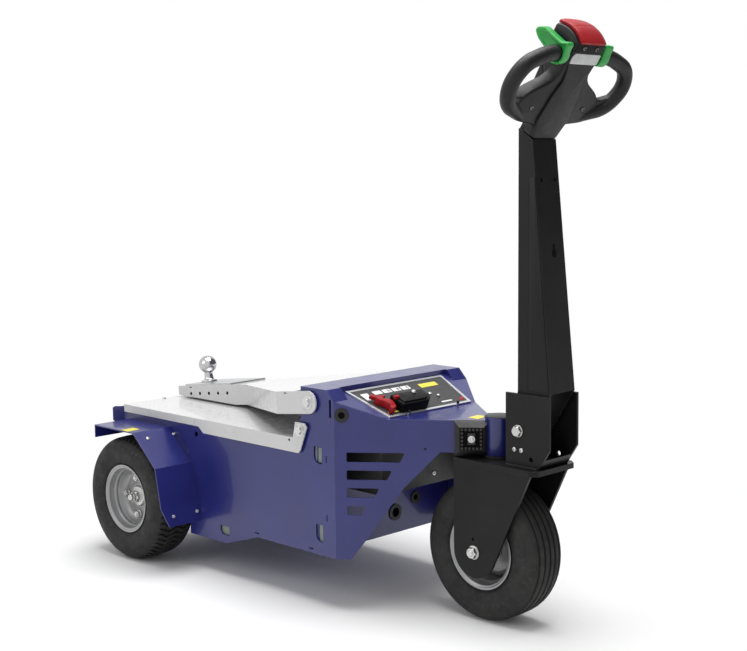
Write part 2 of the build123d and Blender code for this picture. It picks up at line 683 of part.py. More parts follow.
def grommets():
    """Rubber grommets in the bulkhead and in the nose panels."""
    wall = GROMMET_LIP + 1
    pieces = []
    for y, z, radius in bulkhead_holes():
        ring = Cylinder(radius + GROMMET_LIP, 3) - Cylinder(radius - wall, 3)
        sleeve = Cylinder(radius, SHEET) - Cylinder(radius - wall, SHEET)
        whole = Pos(0, 0, 1.5) * ring + Pos(0, 0, -SHEET / 2) * sleeve
        pieces.append(Pos(BULKHEAD_X, y, z) * (Rot(0, 90, 0) * whole))
    plane = nose_plane()
    spot = grommet_spot()
    hole = spot * Circle(GROMMET_R - wall)
    sleeve = extrude(plane * (spot * Circle(GROMMET_R) - hole), amount=SHEET, dir=plane.z_dir)
    lip = extrude(plane * (spot * Circle(GROMMET_R + GROMMET_LIP) - hole), amount=2, dir=plane.z_dir * -1)
    nose_grommet = sleeve + lip
    return Compound(children=[*pieces, nose_grommet, other_side(nose_grommet)])


def floor_tray():
    """Floor: level under the transaxle, ramp and level stretch up to the bulkhead."""
    inner_y = SIDE_Y - SHEET
    front = BULKHEAD_X - SHEET
    under = [(ARCH_FRONT_X, REAR_SILL_Z), (RAMP_START_X, REAR_SILL_Z), (RAMP_END_X, SILL_Z), (front, SILL_Z)]
    face = outline(under + [(x, z + SHEET) for x, z in reversed(under)])
    rear_y = WHEEL_HOUSE_Y - SHEET
    low = REAR_SILL_Z
    rear = block(REAR_END_X + 36, ARCH_FRONT_X, -rear_y, rear_y, low, low + SHEET)
    return across(face, -inner_y, inner_y) + rear


def rear_plate():
    """Rear wall between the wheel houses, wider over them."""
    inner_y = SIDE_Y - SHEET
    rear_y = WHEEL_HOUSE_Y - SHEET
    start = REAR_END_X + 32
    end = start + SHEET
    plate = block(start, end, -rear_y, rear_y, REAR_SILL_Z, SHOULDER_Z)
    return plate + block(start, end, -inner_y, inner_y, ARCH_TOP_Z + SHEET, SHOULDER_Z)


def inner_blocks():
    """Battery and electronics as closed blocks at their real places."""
    rear_gap, front_gap, side_gap, top_gap = BATTERY_GAPS
    half = SIDE_Y - SHEET - side_gap
    floor = SILL_Z + SHEET
    battery = block(RAMP_START_X + rear_gap, BULKHEAD_X - front_gap, -half, half, floor, SHOULDER_Z - top_gap)
    wheel_gap, nose_drop, deck_drop = ELECTRONICS_GAPS
    front = STEER_X - TYRE_R - wheel_gap
    half = ELECTRONICS_HALF
    box = block(BULKHEAD_X, front, -half, half, NOSE_BOTTOM_Z - nose_drop, DECK_Z - deck_drop)
    return {"battery": battery, "electronics_box": box}


def wheel_house():
    """Left inner wheel house: inner wall, shelf and front wall of one folded sheet, holed for the axle tube."""
    inner_y = SIDE_Y - SHEET
    wall_y = WHEEL_HOUSE_Y - SHEET
    rear = REAR_END_X + 32
    front = ARCH_FRONT_X
    top = ARCH_TOP_Z + SHEET
    wall = block(rear, front, wall_y, WHEEL_HOUSE_Y, REAR_SILL_Z, top)
    shelf = block(rear, front, wall_y, inner_y, ARCH_TOP_Z, top)
    end = block(front, front + SHEET, wall_y, inner_y, REAR_SILL_Z + SHEET, top)
    return wall + shelf + end - rod_y(0, TYRE_R, AXLE_TUBE_R, 0, SIDE_Y)


def transaxle():
    """Differential case with axle tubes and the drive motor in front of it."""
    tube_end = WHEEL_HOUSE_Y + TUBE_END
    bore = AXLE_SHAFT_R + RUN_GAP
    shoulder, rise = CASE_SHOULDER
    half = [
        (CASE_HALF, CASE_R), (CASE_HALF + shoulder, AXLE_TUBE_R + rise), (CASE_HALF + CASE_NECK, AXLE_TUBE_R),
        (tube_end, AXLE_TUBE_R), (tube_end, bore),
    ]
    case = ring_about_y([(-a, r) for a, r in reversed(half)] + half, 0, 0, TYRE_R)
    motor_x = CASE_R - AXLE_SHAFT_R + MOTOR_LENGTH / 2
    motor = Pos(motor_x, 0, TYRE_R) * (Rot(0, 90, 0) * Cylinder(MOTOR_R, MOTOR_LENGTH))
    return case + motor


def fender_side(inset):
    """Line of the left fender in the side view from its rear lip over the wheel to its foot."""
    top = 2 * TYRE_R + FENDER_RISE
    return [
        (inset - FENDER_REAR, top - FENDER_LIP), (inset - FENDER_REAR, top - inset),
        (TYRE_R - 65 - inset / 3, top - inset), (TYRE_R + 27 - inset, 2 * TYRE_R - 50 - inset / 3),
        (TYRE_R + 57 - inset, REAR_SILL_Z + 42),
    ]


def fender():
    """Left fender: folded sheet over the rear wheel, outer corner cut at the foot."""
    face = outline(fender_side(0) + fender_side(FENDER_T)[::-1])
    sheet = across(face, SIDE_Y, FENDER_OUT_Y)
    wide, high = FENDER_CUT
    foot = REAR_SILL_Z + 41
    cut = outline([(FENDER_OUT_Y - wide, foot), (FENDER_OUT_Y + 1, foot), (FENDER_OUT_Y + 1, foot + high)])
    return sheet - extrude(END_VIEW * cut, amount=3 * TYRE_R, dir=(1, 0, 0))


def pivot_bolts():
    """Bolts of the boom and the cover through the side plates, heads outside."""
    inner_y = SIDE_Y - SHEET
    pieces = []
    for pivot, outer in ((BOOM_PIVOT, BOOM_HALF), (COVER_PIVOT, COVER_HALF)):
        shaft = rod_y(*pivot, PIVOT_R, inner_y - PIVOT_R, outer + 1)
        head = hex_y(*pivot, PIVOT_HEAD, outer + 1, outer + 1 + PIVOT_R)
        nut = hex_y(*pivot, PIVOT_HEAD, inner_y - 1.5 * PIVOT_R, inner_y)
        bolt = shaft + head + nut
        pieces += [bolt, other_side(bolt)]
    return Compound(children=pieces)


def chassis():
    """Every piece fixed to the chassis."""
    return {
        **both_sides("side_plate", side_plate()),
        **both_sides("nose_panel", nose_panel()),
        **both_sides("bumper", bumper()),
        **both_sides("wheel_house", wheel_house()),
        **both_sides("fender", fender()),
        "hood": hood(),
        "head_tube": head_tube(),
        "steering_bearing": steering_bearing(),
        "bulkhead": bulkhead(),
        "grommets": grommets(),
        "transaxle": transaxle(),
        "pivot_bolts": pivot_bolts(),
        "floor_tray": floor_tray(),
        "rear_plate": rear_plate(),
        **control_panel(),
        **inner_blocks(),
    }


# Boom and cover

def boom_place():
    """Moves what is modelled about the pivot, level, into the boom's lean."""
    return Pos(BOOM_PIVOT[0], 0, BOOM_PIVOT[1]) * Rot(0, -BOOM_ANGLE, 0)


def along_boom(x):
    """Distance along the boom from its pivot of a point at this x on the boom's middle line."""
    return (x - BOOM_PIVOT[0]) / math.cos(math.radians(BOOM_ANGLE))


def boom_outline(inset):
    """Plan of the boom: narrow tail, flare and two arms, drawn in by inset."""
    tail = along_boom(BOOM_TAIL_X) + inset
    neck = along_boom(ARCH_FRONT_X + BOOM_NECK_AHEAD)
    wide = along_boom(BOOM_PIVOT[0] - BOOM_FLARE_BACK)
    slim = BOOM_TAIL_HALF - inset
    full = BOOM_HALF - inset
    half = [(tail, slim), (neck, slim), (wide, full), (BOOM_HALF_H, full)]
    return half + [(x, -y) for x, y in reversed(half)]


def boom():
    """Folded boom: channel open below, arms with round ends, cross holes in the tail."""
    high = BOOM_HALF_H
    shell = upright(boom_outline(0), -high, high) - upright(boom_outline(BOOM_T), -high, high - BOOM_T)
    inside = BOOM_HALF - BOOM_T
    shell -= block(-BOOM_TOP_END, high, -inside, inside, -high, high)
    tail = along_boom(BOOM_TAIL_X)
    side = Pos(tail / 2, 0) * Rectangle(-tail, 2 * high) + Circle(high)
    side -= Circle(PIVOT_R + RUN_GAP)
    shell &= across(side, -BOOM_HALF, BOOM_HALF)
    placed = boom_place() * shell
    clear = COVER_TOP_Z + BOOM_COVER_GAP
    placed -= block(2 * BOOM_TAIL_X, BOOM_PIVOT[0], -BOOM_HALF, BOOM_HALF, 0, clear)
    for x, z in tail_holes():
        placed -= rod_y(x, z, TAIL_HOLE_R, -BOOM_HALF, BOOM_HALF)
    return placed


def tail_holes():
    """Centres of the cross holes in the boom's tail."""
    lean = math.radians(BOOM_ANGLE)
    first_x = BOOM_TAIL_X + TAIL_HOLE_AHEAD
    first_z = BOOM_PIVOT[1] + (first_x - BOOM_PIVOT[0]) * math.tan(lean) + TAIL_HOLE_UP
    steps = [TAIL_HOLE_PITCH * count for count in range(TAIL_HOLE_COUNT)]
    return [(first_x + step * math.cos(lean), first_z + step * math.sin(lean)) for step in steps]


def tow_ball():
    """Ball plate on the tail and the tow ball square to it."""
    base = along_boom(BOOM_TAIL_X + BALL_AHEAD)
    foot_z = BOOM_HALF_H + BALL_PLATE_T
    behind, ahead = BALL_PLATE_ENDS
    width = BOOM_TAIL_HALF - BALL_PLATE_INSET
    plate = block(base - behind, base + ahead, -width, width, BOOM_HALF_H, foot_z)
    ball = Pos(base, 0, foot_z + BALL_STAND) * Sphere(BALL_R)
    neck = Pos(base, 0, foot_z + BALL_STAND / 2) * Cylinder(BALL_NECK_R, BALL_STAND)
    foot = Pos(base, 0, foot_z + BALL_BASE_H / 2) * Cone(BALL_BASE_R, BALL_NECK_R, BALL_BASE_H)
    place = boom_place()
    return {"ball_plate": place * plate, "tow_ball": place * (ball + neck + foot)}


def cover():
    """Battery cover: folded lid with stepped flanges over the side plates and two hinge ears."""
    top = COVER_TOP_Z
    shallow, deep = COVER_FLANGE
    step_x = ARCH_FRONT_X + BOOM_NECK_AHEAD + shallow
    pivot_x, pivot_z = COVER_PIVOT
    back, ear_rear, ear_high, ear_front, foot = COVER_EAR
    step_back, step_ahead = COVER_STEP
    flange = [
        (COVER_REAR_X, top), (COVER_REAR_X, top - shallow), (step_x - step_back, top - shallow),
        (step_x + step_ahead, top - deep), (pivot_x - foot, top - deep), (pivot_x, top - deep + foot),
        (pivot_x + ear_front, pivot_z + ear_high / 2), (pivot_x + ear_front - foot, pivot_z + ear_high),
        (pivot_x - ear_rear, pivot_z + ear_high), (pivot_x - back, top),
    ]
    face = outline(flange) - Pos(*COVER_PIVOT) * Circle(PIVOT_R + RUN_GAP)
    side = across(face, COVER_HALF - COVER_T, COVER_HALF)
    front_x = TOWER_REAR_X - COVER_FRONT_GAP
    sheet = block(COVER_REAR_X, front_x, -COVER_HALF, COVER_HALF, top - COVER_T, top)
    rear_half = SIDE_Y - SHEET - MOVE_GAP
    rear = block(COVER_REAR_X, COVER_REAR_X + COVER_T, -rear_half, rear_half, top - shallow, top)
    return sheet + rear + side + other_side(side)


# Fork and tiller

def fork():
    """Fork: two tapering cheeks with round feet under a top plate with cut front corners."""
    top = FORK_TOP_Z - FORK_PLATE_T
    rear_x = WHEELBASE - FORK_TIP_R
    front_x = WHEELBASE + FORK_AHEAD
    foot = (WHEELBASE, TYRE_R)
    points = [(rear_x, TYRE_R), (rear_x, top), (front_x - FORK_CORNER, top)]
    touch = tangent_point(foot, FORK_TIP_R, points[-1], -1)
    face = outline([*points, touch, foot]) + Pos(*foot) * Circle(FORK_TIP_R)
    face -= Pos(*foot) * Circle(FRONT_AXLE_R)
    face -= Pos(WHEELBASE - 2, TYRE_R + FORK_TIP_R / 2) * Circle(FRONT_AXLE_R / 2)
    cheek = across(face, FORK_HALF - FORK_CHEEK_T, FORK_HALF)
    half = [
        (rear_x, FORK_HALF), (front_x - FORK_CORNER, FORK_HALF + FORK_FLARE), (front_x, FORK_HALF - FORK_FLARE),
    ]
    plan = half + [(x, -y) for x, y in reversed(half)]
    return cheek + other_side(cheek) + upright(plan, top, FORK_TOP_Z)


def front_axle():
    """Front axle bolt with a hexagon head and a nut."""
    end = FORK_HALF + 2 * FRONT_AXLE_R
    bolt = rod_y(WHEELBASE, TYRE_R, FRONT_AXLE_R, -end, end)
    for side in (1, -1):
        low, high = sorted((side * FORK_HALF, side * (FORK_HALF + 1.5 * FRONT_AXLE_R)))
        bolt += hex_y(WHEELBASE, TYRE_R, 3 * FRONT_AXLE_R, low, high)
    return bolt


def stem():
    """Steering stem standing on the fork."""
    return rod_z(STEER_X, 0, STEM_R, FORK_TOP_Z, HEAD_TOP_Z - SHEET - SEAT_GAP)


def tiller_base():
    """Bracket on the fork: two side plates, a rear wall, a floor and a slanted front rib between them."""
    low = FORK_TOP_Z
    cut_x, cut_z = BASE_NOTCH
    corners = [
        (BASE_REAR_X, low), (BASE_FRONT_X - cut_x, low), (BASE_FRONT_X, low + cut_z),
        (BASE_FRONT_X, BASE_TOP_Z), (BASE_REAR_X, BASE_TOP_Z),
    ]
    lock = (BASE_REAR_X + LOCK_AHEAD, FORK_TOP_Z + LOCK_UP)
    face = outline(corners) - Pos(*TILT) * Circle(TILT_BOLT_R) - Pos(*lock) * Circle(LOCK_HOLE_R)
    side = across(face, BASE_HALF - BASE_T, BASE_HALF)
    inside = BASE_HALF - BASE_T
    rear = block(BASE_REAR_X, BASE_REAR_X + BASE_T, -inside, inside, low, TILT[1] + 2 * TILT_BOLT_R)
    floor = block(BASE_REAR_X, BASE_FRONT_X - cut_x - BASE_T / 2, -inside, inside, low, low + BASE_T)
    rib = outline([
        (BASE_FRONT_X - cut_x - BASE_T, low), (BASE_FRONT_X - cut_x, low),
        (BASE_FRONT_X - cut_x / 2, low + cut_z / 2), (BASE_FRONT_X - cut_x / 2 - BASE_T, low + cut_z / 2),
    ])
    return side + other_side(side) + rear + floor + across(rib, -inside, inside)


def tilt_bolt():
    """Bolt that the tiller tilts on."""
    bolt = rod_y(*TILT, TILT_BOLT_R, -BASE_HALF - 2, BASE_HALF + 2)
    for side in (1, -1):
        low, high = sorted((side * BASE_HALF, side * (BASE_HALF + TILT_BOLT_R)))
        bolt += hex_y(*TILT, 3 * TILT_BOLT_R, low, high)
    return bolt


def column_section(depth, z, half, inset):
    """Level rectangle of the column at height z, its rear face upright."""
    rear = STEER_X + COLUMN_BACK
    return Pos(rear + depth / 2, 0, z) * Rectangle(depth - 2 * inset, 2 * (half - inset))


def tiller_column():
    """Tapered hollow column with two cheeks down to the tilt bolt."""
    foot_z = BASE_TOP_Z + MOVE_GAP
    head_z = HEAD_Z - NECK_TO_FOOT
    outer, inner = [
        loft([
            column_section(COLUMN_FOOT_DEPTH, foot_z, COLUMN_FOOT_HALF, inset),
            column_section(COLUMN_HEAD_DEPTH, head_z, COLUMN_HEAD_HALF, inset),
        ])
        for inset in (0, COLUMN_T)
    ]
    rear = STEER_X + COLUMN_BACK
    face = lobe(TILT, CHEEK_END_R, [(rear, foot_z), (rear + COLUMN_FOOT_DEPTH, foot_z)])
    face -= Pos(*TILT) * Circle(TILT_BOLT_R + RUN_GAP)
    cheek = across(face, COLUMN_FOOT_HALF - CHEEK_T, COLUMN_FOOT_HALF)
    seat = Pos(0, NECK_V + HEAD_T) * Rectangle(4 * COLUMN_HEAD_HALF, 2 * HEAD_T)
    return outer - inner + cheek + other_side(cheek) - head_front(seat, -2 * HEAD_T, HEAD_T)


def head_plane(ahead):
    """Plane of the head's face moved ahead: local x to the machine's left, y up the face, z out of it."""
    lean = math.radians(HEAD_LEAN)
    out = Vector(math.cos(lean), 0, -math.sin(lean))
    return Plane(origin=Vector(HEAD_X, 0, HEAD_Z) + out * ahead, x_dir=(0, 1, 0), z_dir=out)


def head_side(face, y_low, y_high):
    """Head's side-view face in (ahead of the face, up the face) made solid from y_low to y_high."""
    front = head_plane(0)
    plane = Plane(origin=front.origin + Vector(0, y_high, 0), x_dir=front.z_dir, z_dir=(0, -1, 0))
    return extrude(plane * face, amount=y_high - y_low, dir=(0, -1, 0))


def head_front(face, back, ahead):
    """Head's front-view face made solid between two depths."""
    plane = head_plane(back)
    return extrude(plane * face, amount=ahead - back, dir=plane.z_dir)


def dome_point(radius, angle):
    """Point of an arc about the dome's centre, in (ahead of the face, up the face)."""
    turn = math.radians(angle)
    return (DOME_W + radius * math.cos(turn), DOME_V + radius * math.sin(turn))


def head_housing():
    """Moulded head: neck and spread wings below, waist between the loops, dome above."""
    half = [(COLUMN_HEAD_HALF, NECK_V)]
    half += [(DOME_HALF + out, NECK_V + up) for out, up in zip(WING_OUT, WING_UP)]
    half += [(DOME_HALF, GRIP_ROOT_V)]
    plate = head_front(outline(half + [(-y, v) for y, v in reversed(half)]), -HEAD_T, 0)
    foot = [(DOME_REAR_W, DOME_V), (-HEAD_T, -DOME_FOOT_V)]
    body = outline([(0, DOME_FOOT_V), (0, 2 * DOME_R), (DOME_REAR_W, 2 * DOME_R), *foot])
    above = Pos(DOME_W, DOME_V) * Circle(DOME_R)
    shoulder = DOME_V + 2 * DOME_FOOT_V
    below = outline([(0, DOME_FOOT_V), (0, shoulder), (DOME_REAR_W, shoulder), *foot])
    return plate + head_side((body & above) + below, -DOME_HALF, DOME_HALF)


def belly_button():
    """Red reversing button: crowned pad along the top of the dome, turned about the dome's centre."""
    edge = BUTTON_HALF - BUTTON_T
    top = DOME_R + BUTTON_T
    section = outline([
        (-BUTTON_HALF, DOME_R), (-BUTTON_HALF, top - 2), (-edge, top), (0, CROWN_R), (edge, top),
        (BUTTON_HALF, top - 2), (BUTTON_HALF, DOME_R),
    ])
    start = head_plane(0)
    centre = start.from_local_coords(Vector(0, DOME_V, DOME_W))
    foot = start.from_local_coords(Vector(0, *reversed(dome_point(1, BUTTON_START)))) - centre
    plane = Plane(origin=centre, x_dir=(0, 1, 0), z_dir=Vector(0, 1, 0).cross(foot))
    span = BUTTON_END - BUTTON_START
    return revolve(plane * section, axis=Axis(centre, (0, -1, 0)), revolution_arc=span)


def grip_plane():
    """Plane of the left grip loop, toed forward from the dome's side: local x outwards, local y up the face."""
    face = head_plane(GRIP_AHEAD)
    toe = math.radians(GRIP_TOE)
    side = face.x_dir
    out = face.z_dir
    root = face.origin + side * DOME_HALF
    along = side * math.cos(toe) + out * math.sin(toe)
    square = out * math.cos(toe) - side * math.sin(toe)
    return Plane(origin=root, x_dir=along, z_dir=square)


def grip():
    """Left grip loop: round bar out of the dome, round and down, and back into the wing."""
    path = grip_plane() * FilletPolyline(*GRIP_ROUTE, radius=GRIP_BEND_R)
    loop = sweep(Plane(path ^ 0) * Circle(GRIP_R), path=path) - head_housing()
    return Part() + loop.solids().sort_by(SortBy.VOLUME)[-1]


def throttle():
    """Left butterfly throttle: a sleeve round the grip's root with a thumb wing to the rear and one ahead."""
    plane = grip_plane()
    start = plane.from_local_coords(Vector(THROTTLE_SEAT, GRIP_ROOT_V, 0))
    round_grip = Plane(origin=start, x_dir=plane.z_dir, z_dir=plane.x_dir * -1)
    wall = GRIP_R + THROTTLE_WALL
    face = Circle(wall)
    for wing in (REAR_WING, FRONT_WING):
        plate = outline(wing)
        face += fillet(plate.vertices(), THROTTLE_EDGE_R)
    face -= Circle(GRIP_R + SEAT_GAP)
    return extrude(round_grip * face, amount=THROTTLE_W, dir=plane.x_dir)


def head_trim():
    """Belly button, name-plate blank and the two butterfly throttles."""
    wide, high, thick = FACE_PLATE
    blank = head_front(Pos(0, FACE_PLATE_V) * Rectangle(wide, high), 0, thick)
    left = throttle()
    pair = Compound(children=[left, other_side(left)])
    return {"belly_button": belly_button(), "face_plate": blank, "throttles": pair}


def steered():
    """Pieces that turn with the fork."""
    return {
        "fork": fork(),
        "front_axle": front_axle(),
        "stem": stem(),
        "tiller_base": tiller_base(),
        "tilt_bolt": tilt_bolt(),
    }


def tiller():
    """Pieces that tilt with the column."""
    return {
        "tiller_column": tiller_column(),
        "tiller_head": head_housing(),
        **both_sides("grip", grip()),
        **head_trim(),
    }


def export(nodes):
    """Write each piece, moved so that the machine's length is centred on the origin."""
    os.makedirs("parts", exist_ok=True)
    for name, shape in nodes.items():
        export_step(Pos(SHIFT_X, 0, 0) * shape, f"parts/{name}.step")


export({**wheels(), **chassis(), "boom": boom(), **tow_ball(), "cover": cover(), **steered(), **tiller()})
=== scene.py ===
import bmesh
import bpy
import math
import numpy as np
from mathutils import Matrix, Vector


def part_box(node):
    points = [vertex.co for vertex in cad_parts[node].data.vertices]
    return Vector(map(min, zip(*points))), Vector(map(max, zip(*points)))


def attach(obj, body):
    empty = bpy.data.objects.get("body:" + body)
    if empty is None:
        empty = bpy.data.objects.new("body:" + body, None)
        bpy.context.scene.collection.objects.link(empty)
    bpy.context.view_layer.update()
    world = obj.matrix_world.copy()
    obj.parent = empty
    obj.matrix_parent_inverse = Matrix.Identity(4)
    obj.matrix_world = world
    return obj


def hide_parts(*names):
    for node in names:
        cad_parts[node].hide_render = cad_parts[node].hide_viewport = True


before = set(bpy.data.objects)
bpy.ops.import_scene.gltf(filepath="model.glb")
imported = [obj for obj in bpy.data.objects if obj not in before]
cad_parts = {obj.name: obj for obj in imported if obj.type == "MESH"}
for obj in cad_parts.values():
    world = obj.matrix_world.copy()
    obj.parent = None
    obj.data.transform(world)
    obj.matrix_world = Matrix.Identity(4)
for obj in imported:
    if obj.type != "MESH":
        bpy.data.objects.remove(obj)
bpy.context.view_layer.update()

# Pieces are worked out in millimetres from the rear axle's middle line on the floor:
# x forward, y to the left, z up
MM = 0.001
SIDES = (1, -1)
WHEELBASE = 1016.0
TYRE_RADIUS = 165.0
REAR_TYRE_WIDTH = 125.0
FRONT_TYRE_WIDTH = 115.0
REAR_WHEEL_Y = 256.5
RIM_RADIUS = 92.0
BOLT_CIRCLE_RADIUS = 50.0
SIDEWALL_BAND_RADII = (107.0, 143.0)
GROOVE_PITCH = 17.5
SIDE_PLATE_Y = 231.0
STEERING_X = 1034.0
FORK_TOP_Z = 377.0
FORK_HALF = 70.0
BRACKET_HALF = 52.0
TILT_BOLT = (1130.0, 457.0)
DECK_Z = 459.0
HEAD_TUBE_LOW_Z = 384.0
HEAD_TUBE_TOP_Z = 468.0
SLOPE_START = (706.99, 0.0, 508.0)
SLOPE_ANGLE = 22.3
PANEL_THICKNESS = 2.0
NOSE_START_X = 730.99
NOSE_ANGLE = 38.5
COLUMN_FOOT_Z = 545.0
COLUMN_FRONT_X = 1212.0
COLUMN_SEAM_X = 1122.0
COLUMN_HALF = 43.0
COLUMN_RISE = 570.0
COLUMN_TAPER = 54.0
HEAD_PLACE = (1233.0, 0.0, 1203.0)
HEAD_LEAN = 33.3
DOME_CENTRE = (-43.0, 37.0)
DOME_RADIUS = 72.0
DOME_ARC = (55.0, 111.0)
DOME_HALF = 50.0
GRIP_RADIUS = 17.0
GRIP_AHEAD = -22.0
GRIP_TOE = 6.9
GRIP_ROUTE = ((-6, 61), (58, 61), (123, 40), (145, -4), (123, -54), (50, -88))
BOOM_PIVOT = (651.99, 490.0)
BOOM_ARM_HALF = 240.0
BOOM_TAIL_X = -77.0
BOOM_TAIL_HALF = 66.0
BOOM_FALL = 87.5
COVER_PIVOT = (620.99, 420.0)
COVER_HALF = 239.0
COVER_TOP_Z = 399.0

# Steps and shares that every piece uses: longest rounding as a share of a run, points in an edge's arc,
# chamfer of a nut as a share of its width, angle in degrees from which an edge stays sharp, and how fine
# the noise is that breaks up the edges' wear and painted highlight
HALF_RUN = 0.499
EDGE_STEPS = 4
CHAMFER_SHARE = 0.09
SHARP_ANGLE = 32
EDGE_WEAR_AND_HIGHLIGHT_SCALE = 22

# The photograph's camera, solved from the machine's edges, in metres and degrees
PHOTO_WIDTH = 747
FOCAL_PIXELS = 1387.0
SENSOR_MM = 36.0
CAMERA_AHEAD_OF_REAR_AXLE = 3.031
CAMERA_TO_THE_RIGHT = 2.384
CAMERA_HEIGHT = 1.050
CAMERA_LOOK = (-0.7043, 0.7000, -0.1182)
CAMERA_RIGHT = (0.7049, 0.7093, 0.0)
CAMERA_ROLL = 0.72

# Studio, in metres: the floor turns white between two distances, and a dark curtain shows in gloss
FLOOR_REACH = 30.0
GLOW_FROM_TO = (0.95, 1.6)
SOFT_LIGHT = 0.48
CURTAIN_WAY = (0.70, 0.71, 0.05)


def rear_axle_x():
    """Place of the rear axle along the machine, from the rear tyre's box."""
    low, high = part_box("left_tyre")
    return (low[0] + high[0]) / 2


REAR_AXLE_X = rear_axle_x()


def photo_camera():
    """Camera with the photograph's place, direction, roll and focal length."""
    look = Vector(CAMERA_LOOK).normalized()
    across = Vector(CAMERA_RIGHT).normalized()
    up = across.cross(look).normalized()
    roll = math.radians(CAMERA_ROLL)
    right = across * math.cos(roll) - up * math.sin(roll)
    top = up * math.cos(roll) + across * math.sin(roll)
    data = bpy.data.cameras.new("photo_camera")
    data.sensor_width = SENSOR_MM
    data.lens = FOCAL_PIXELS * SENSOR_MM / PHOTO_WIDTH
    data.clip_end = 50
    camera = bpy.data.objects.new("photo_camera", data)
    axes = Matrix((right, top, -look)).transposed()
    place_at = Vector((REAR_AXLE_X + CAMERA_AHEAD_OF_REAR_AXLE, -CAMERA_TO_THE_RIGHT, CAMERA_HEIGHT))
    camera.matrix_world = Matrix.Translation(place_at) @ axes.to_4x4()
    bpy.context.scene.collection.objects.link(camera)
    bpy.context.scene.camera = camera


# Frames, grids and meshes

def unit(vector):
    """Vector divided by its length."""
    vector = np.array(vector, float)
    return vector / np.linalg.norm(vector)


def seat(origin, along, out):
    """Local frame: origin, along, across = out x along, and out."""
    along, out = unit(along), unit(out)
    return np.array(origin, float), along, np.cross(out, along), out


def facing(origin, out):
    """Local frame whose out axis is given, with along level or, for an upright axis, forward."""
    out = unit(out)
    along = np.cross((0, 0, 1), out) if abs(out[2]) < 0.99 else np.array((1.0, 0, 0))
    return seat(origin, along, out)


def level_frame(x, y, z):
    """Frame at a place with along forward and out upwards."""
    return seat((x, y, z), (1, 0, 0), (0, 0, 1))


def side_frame(x, z, y):
    """Frame on a face that looks right (y negative) or left."""
    return facing((x, y, z), (0, math.copysign(1, y), 0))


def moved(local, a=0.0, b=0.0, c=0.0):
    """The same frame with its origin moved by a, b and c along its own axes."""
    origin, along, across, out = local
    return origin + a * along + b * across + c * out, along, across, out


def place(local, along, across, out):
    """Local coordinates to metres in the machine's frame: origin + along a + across b + out c."""
    origin, a, b, c = local
    along, across, out = np.broadcast_arrays(along, across, out)
    points = origin + along[..., None] * a + across[..., None] * b + out[..., None] * c
    return points * MM + np.array((REAR_AXLE_X, 0, 0))


def mirrored(grid):
    """The same grid on the machine's other side: y changes its sign."""
    points, round_rows, round_columns = grid
    return points * np.array((1, -1, 1)), round_rows, round_columns


def both_sides(grids):
    """The grids and their mirror images."""
    return grids + [mirrored(grid) for grid in grids]


def quads(rows, columns, first, round_rows, round_columns):
    """Quads between neighbouring grid points; a round grid's last row or column meets its first."""
    last_row, last_column = (rows if round_rows else rows - 1), (columns if round_columns else columns - 1)
    row, column = np.meshgrid(np.arange(last_row), np.arange(last_column), indexing="ij")
    below, beside = (row + 1) % rows, (column + 1) % columns
    row, below = row * columns, below * columns
    corners = (row + column, row + beside, below + beside, below + column)
    return first + np.stack(corners, -1).reshape(-1, 4)


def piece(name, grids, body, finish, stands_for=()):
    """Mesh object from grids of points, merged where they close, facing out, smooth up to an angle."""
    points, faces, first = [], [], 0
    for grid, round_rows, round_columns in grids:
        rows, columns = grid.shape[:2]
        points.append(grid.reshape(-1, 3))
        faces.append(quads(rows, columns, first, round_rows, round_columns))
        first += rows * columns
    mesh = bpy.data.meshes.new(name)
    mesh.from_pydata(np.concatenate(points).tolist(), [], np.concatenate(faces).tolist())
    shell = bmesh.new()
    shell.from_mesh(mesh)
    bmesh.ops.remove_doubles(shell, verts=shell.verts, dist=2e-6)
    bmesh.ops.dissolve_degenerate(shell, edges=shell.edges, dist=1e-7)
    bmesh.ops.recalc_face_normals(shell, faces=shell.faces)
    shell.to_mesh(mesh)
    shell.free()
    mesh.polygons.foreach_set("use_smooth", np.ones(len(mesh.polygons), bool))
    mesh.set_sharp_from_angle(angle=math.radians(SHARP_ANGLE))
    mesh.materials.append(finish)
    made = bpy.data.objects.new(name, mesh)
    bpy.context.scene.collection.objects.link(made)
    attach(made, body)
    if stands_for:
        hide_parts(*stands_for)


def pair(name, grids, bodies, finish, stands_for=None):
    """A left piece and its mirror image on the right, each on its own body."""
    shapes = (grids, [mirrored(grid) for grid in grids])
    for side, body, shape in zip(("left", "right"), bodies, shapes):
        piece(f"{side}_{name}", shape, body, finish, (f"{side}_{stands_for}",) if stands_for else ())


def rounded(points, reach, steps=5, closed=False):
    """Corners rounded: p + (1-t)^2 towards the point before + t^2 towards the next, half a run at most."""
    p = np.array(points, float)
    reach = np.broadcast_to(np.array(reach, float), len(p))
    before, after = np.roll(p, 1, 0) - p, np.roll(p, -1, 0) - p
    t = np.linspace(0, 1, steps)[None, :, None]
    back = before * np.minimum(reach / np.linalg.norm(before, axis=1), HALF_RUN)[:, None]
    on = after * np.minimum(reach / np.linalg.norm(after, axis=1), HALF_RUN)[:, None]
    arcs = p[:, None] + back[:, None] * (1 - t) ** 2 + on[:, None] * t ** 2
    if closed:
        return arcs.reshape(-1, p.shape[1])
    return np.concatenate([p[:1], arcs[1:-1].reshape(-1, p.shape[1]), p[-1:]])


def circle(radius, centre=(0, 0), count=24):
    """Circle outline: centre + radius (cos f, sin f)."""
    f = np.arange(count) * 2 * np.pi / count
    return np.stack([centre[0] + radius * np.cos(f), centre[1] + radius * np.sin(f)], -1)


def rectangle(low, high, corner=1.0, steps=4):
    """Rectangle outline between two corners, its own corners rounded."""
    (a, b), (c, d) = low, high
    return rounded([(a, b), (c, b), (c, d), (a, d)], corner, steps, True)


def both_halves(half):
    """Outline from its left half, mirrored about the middle line."""
    return half + [(-a, b) for a, b in reversed(half)]


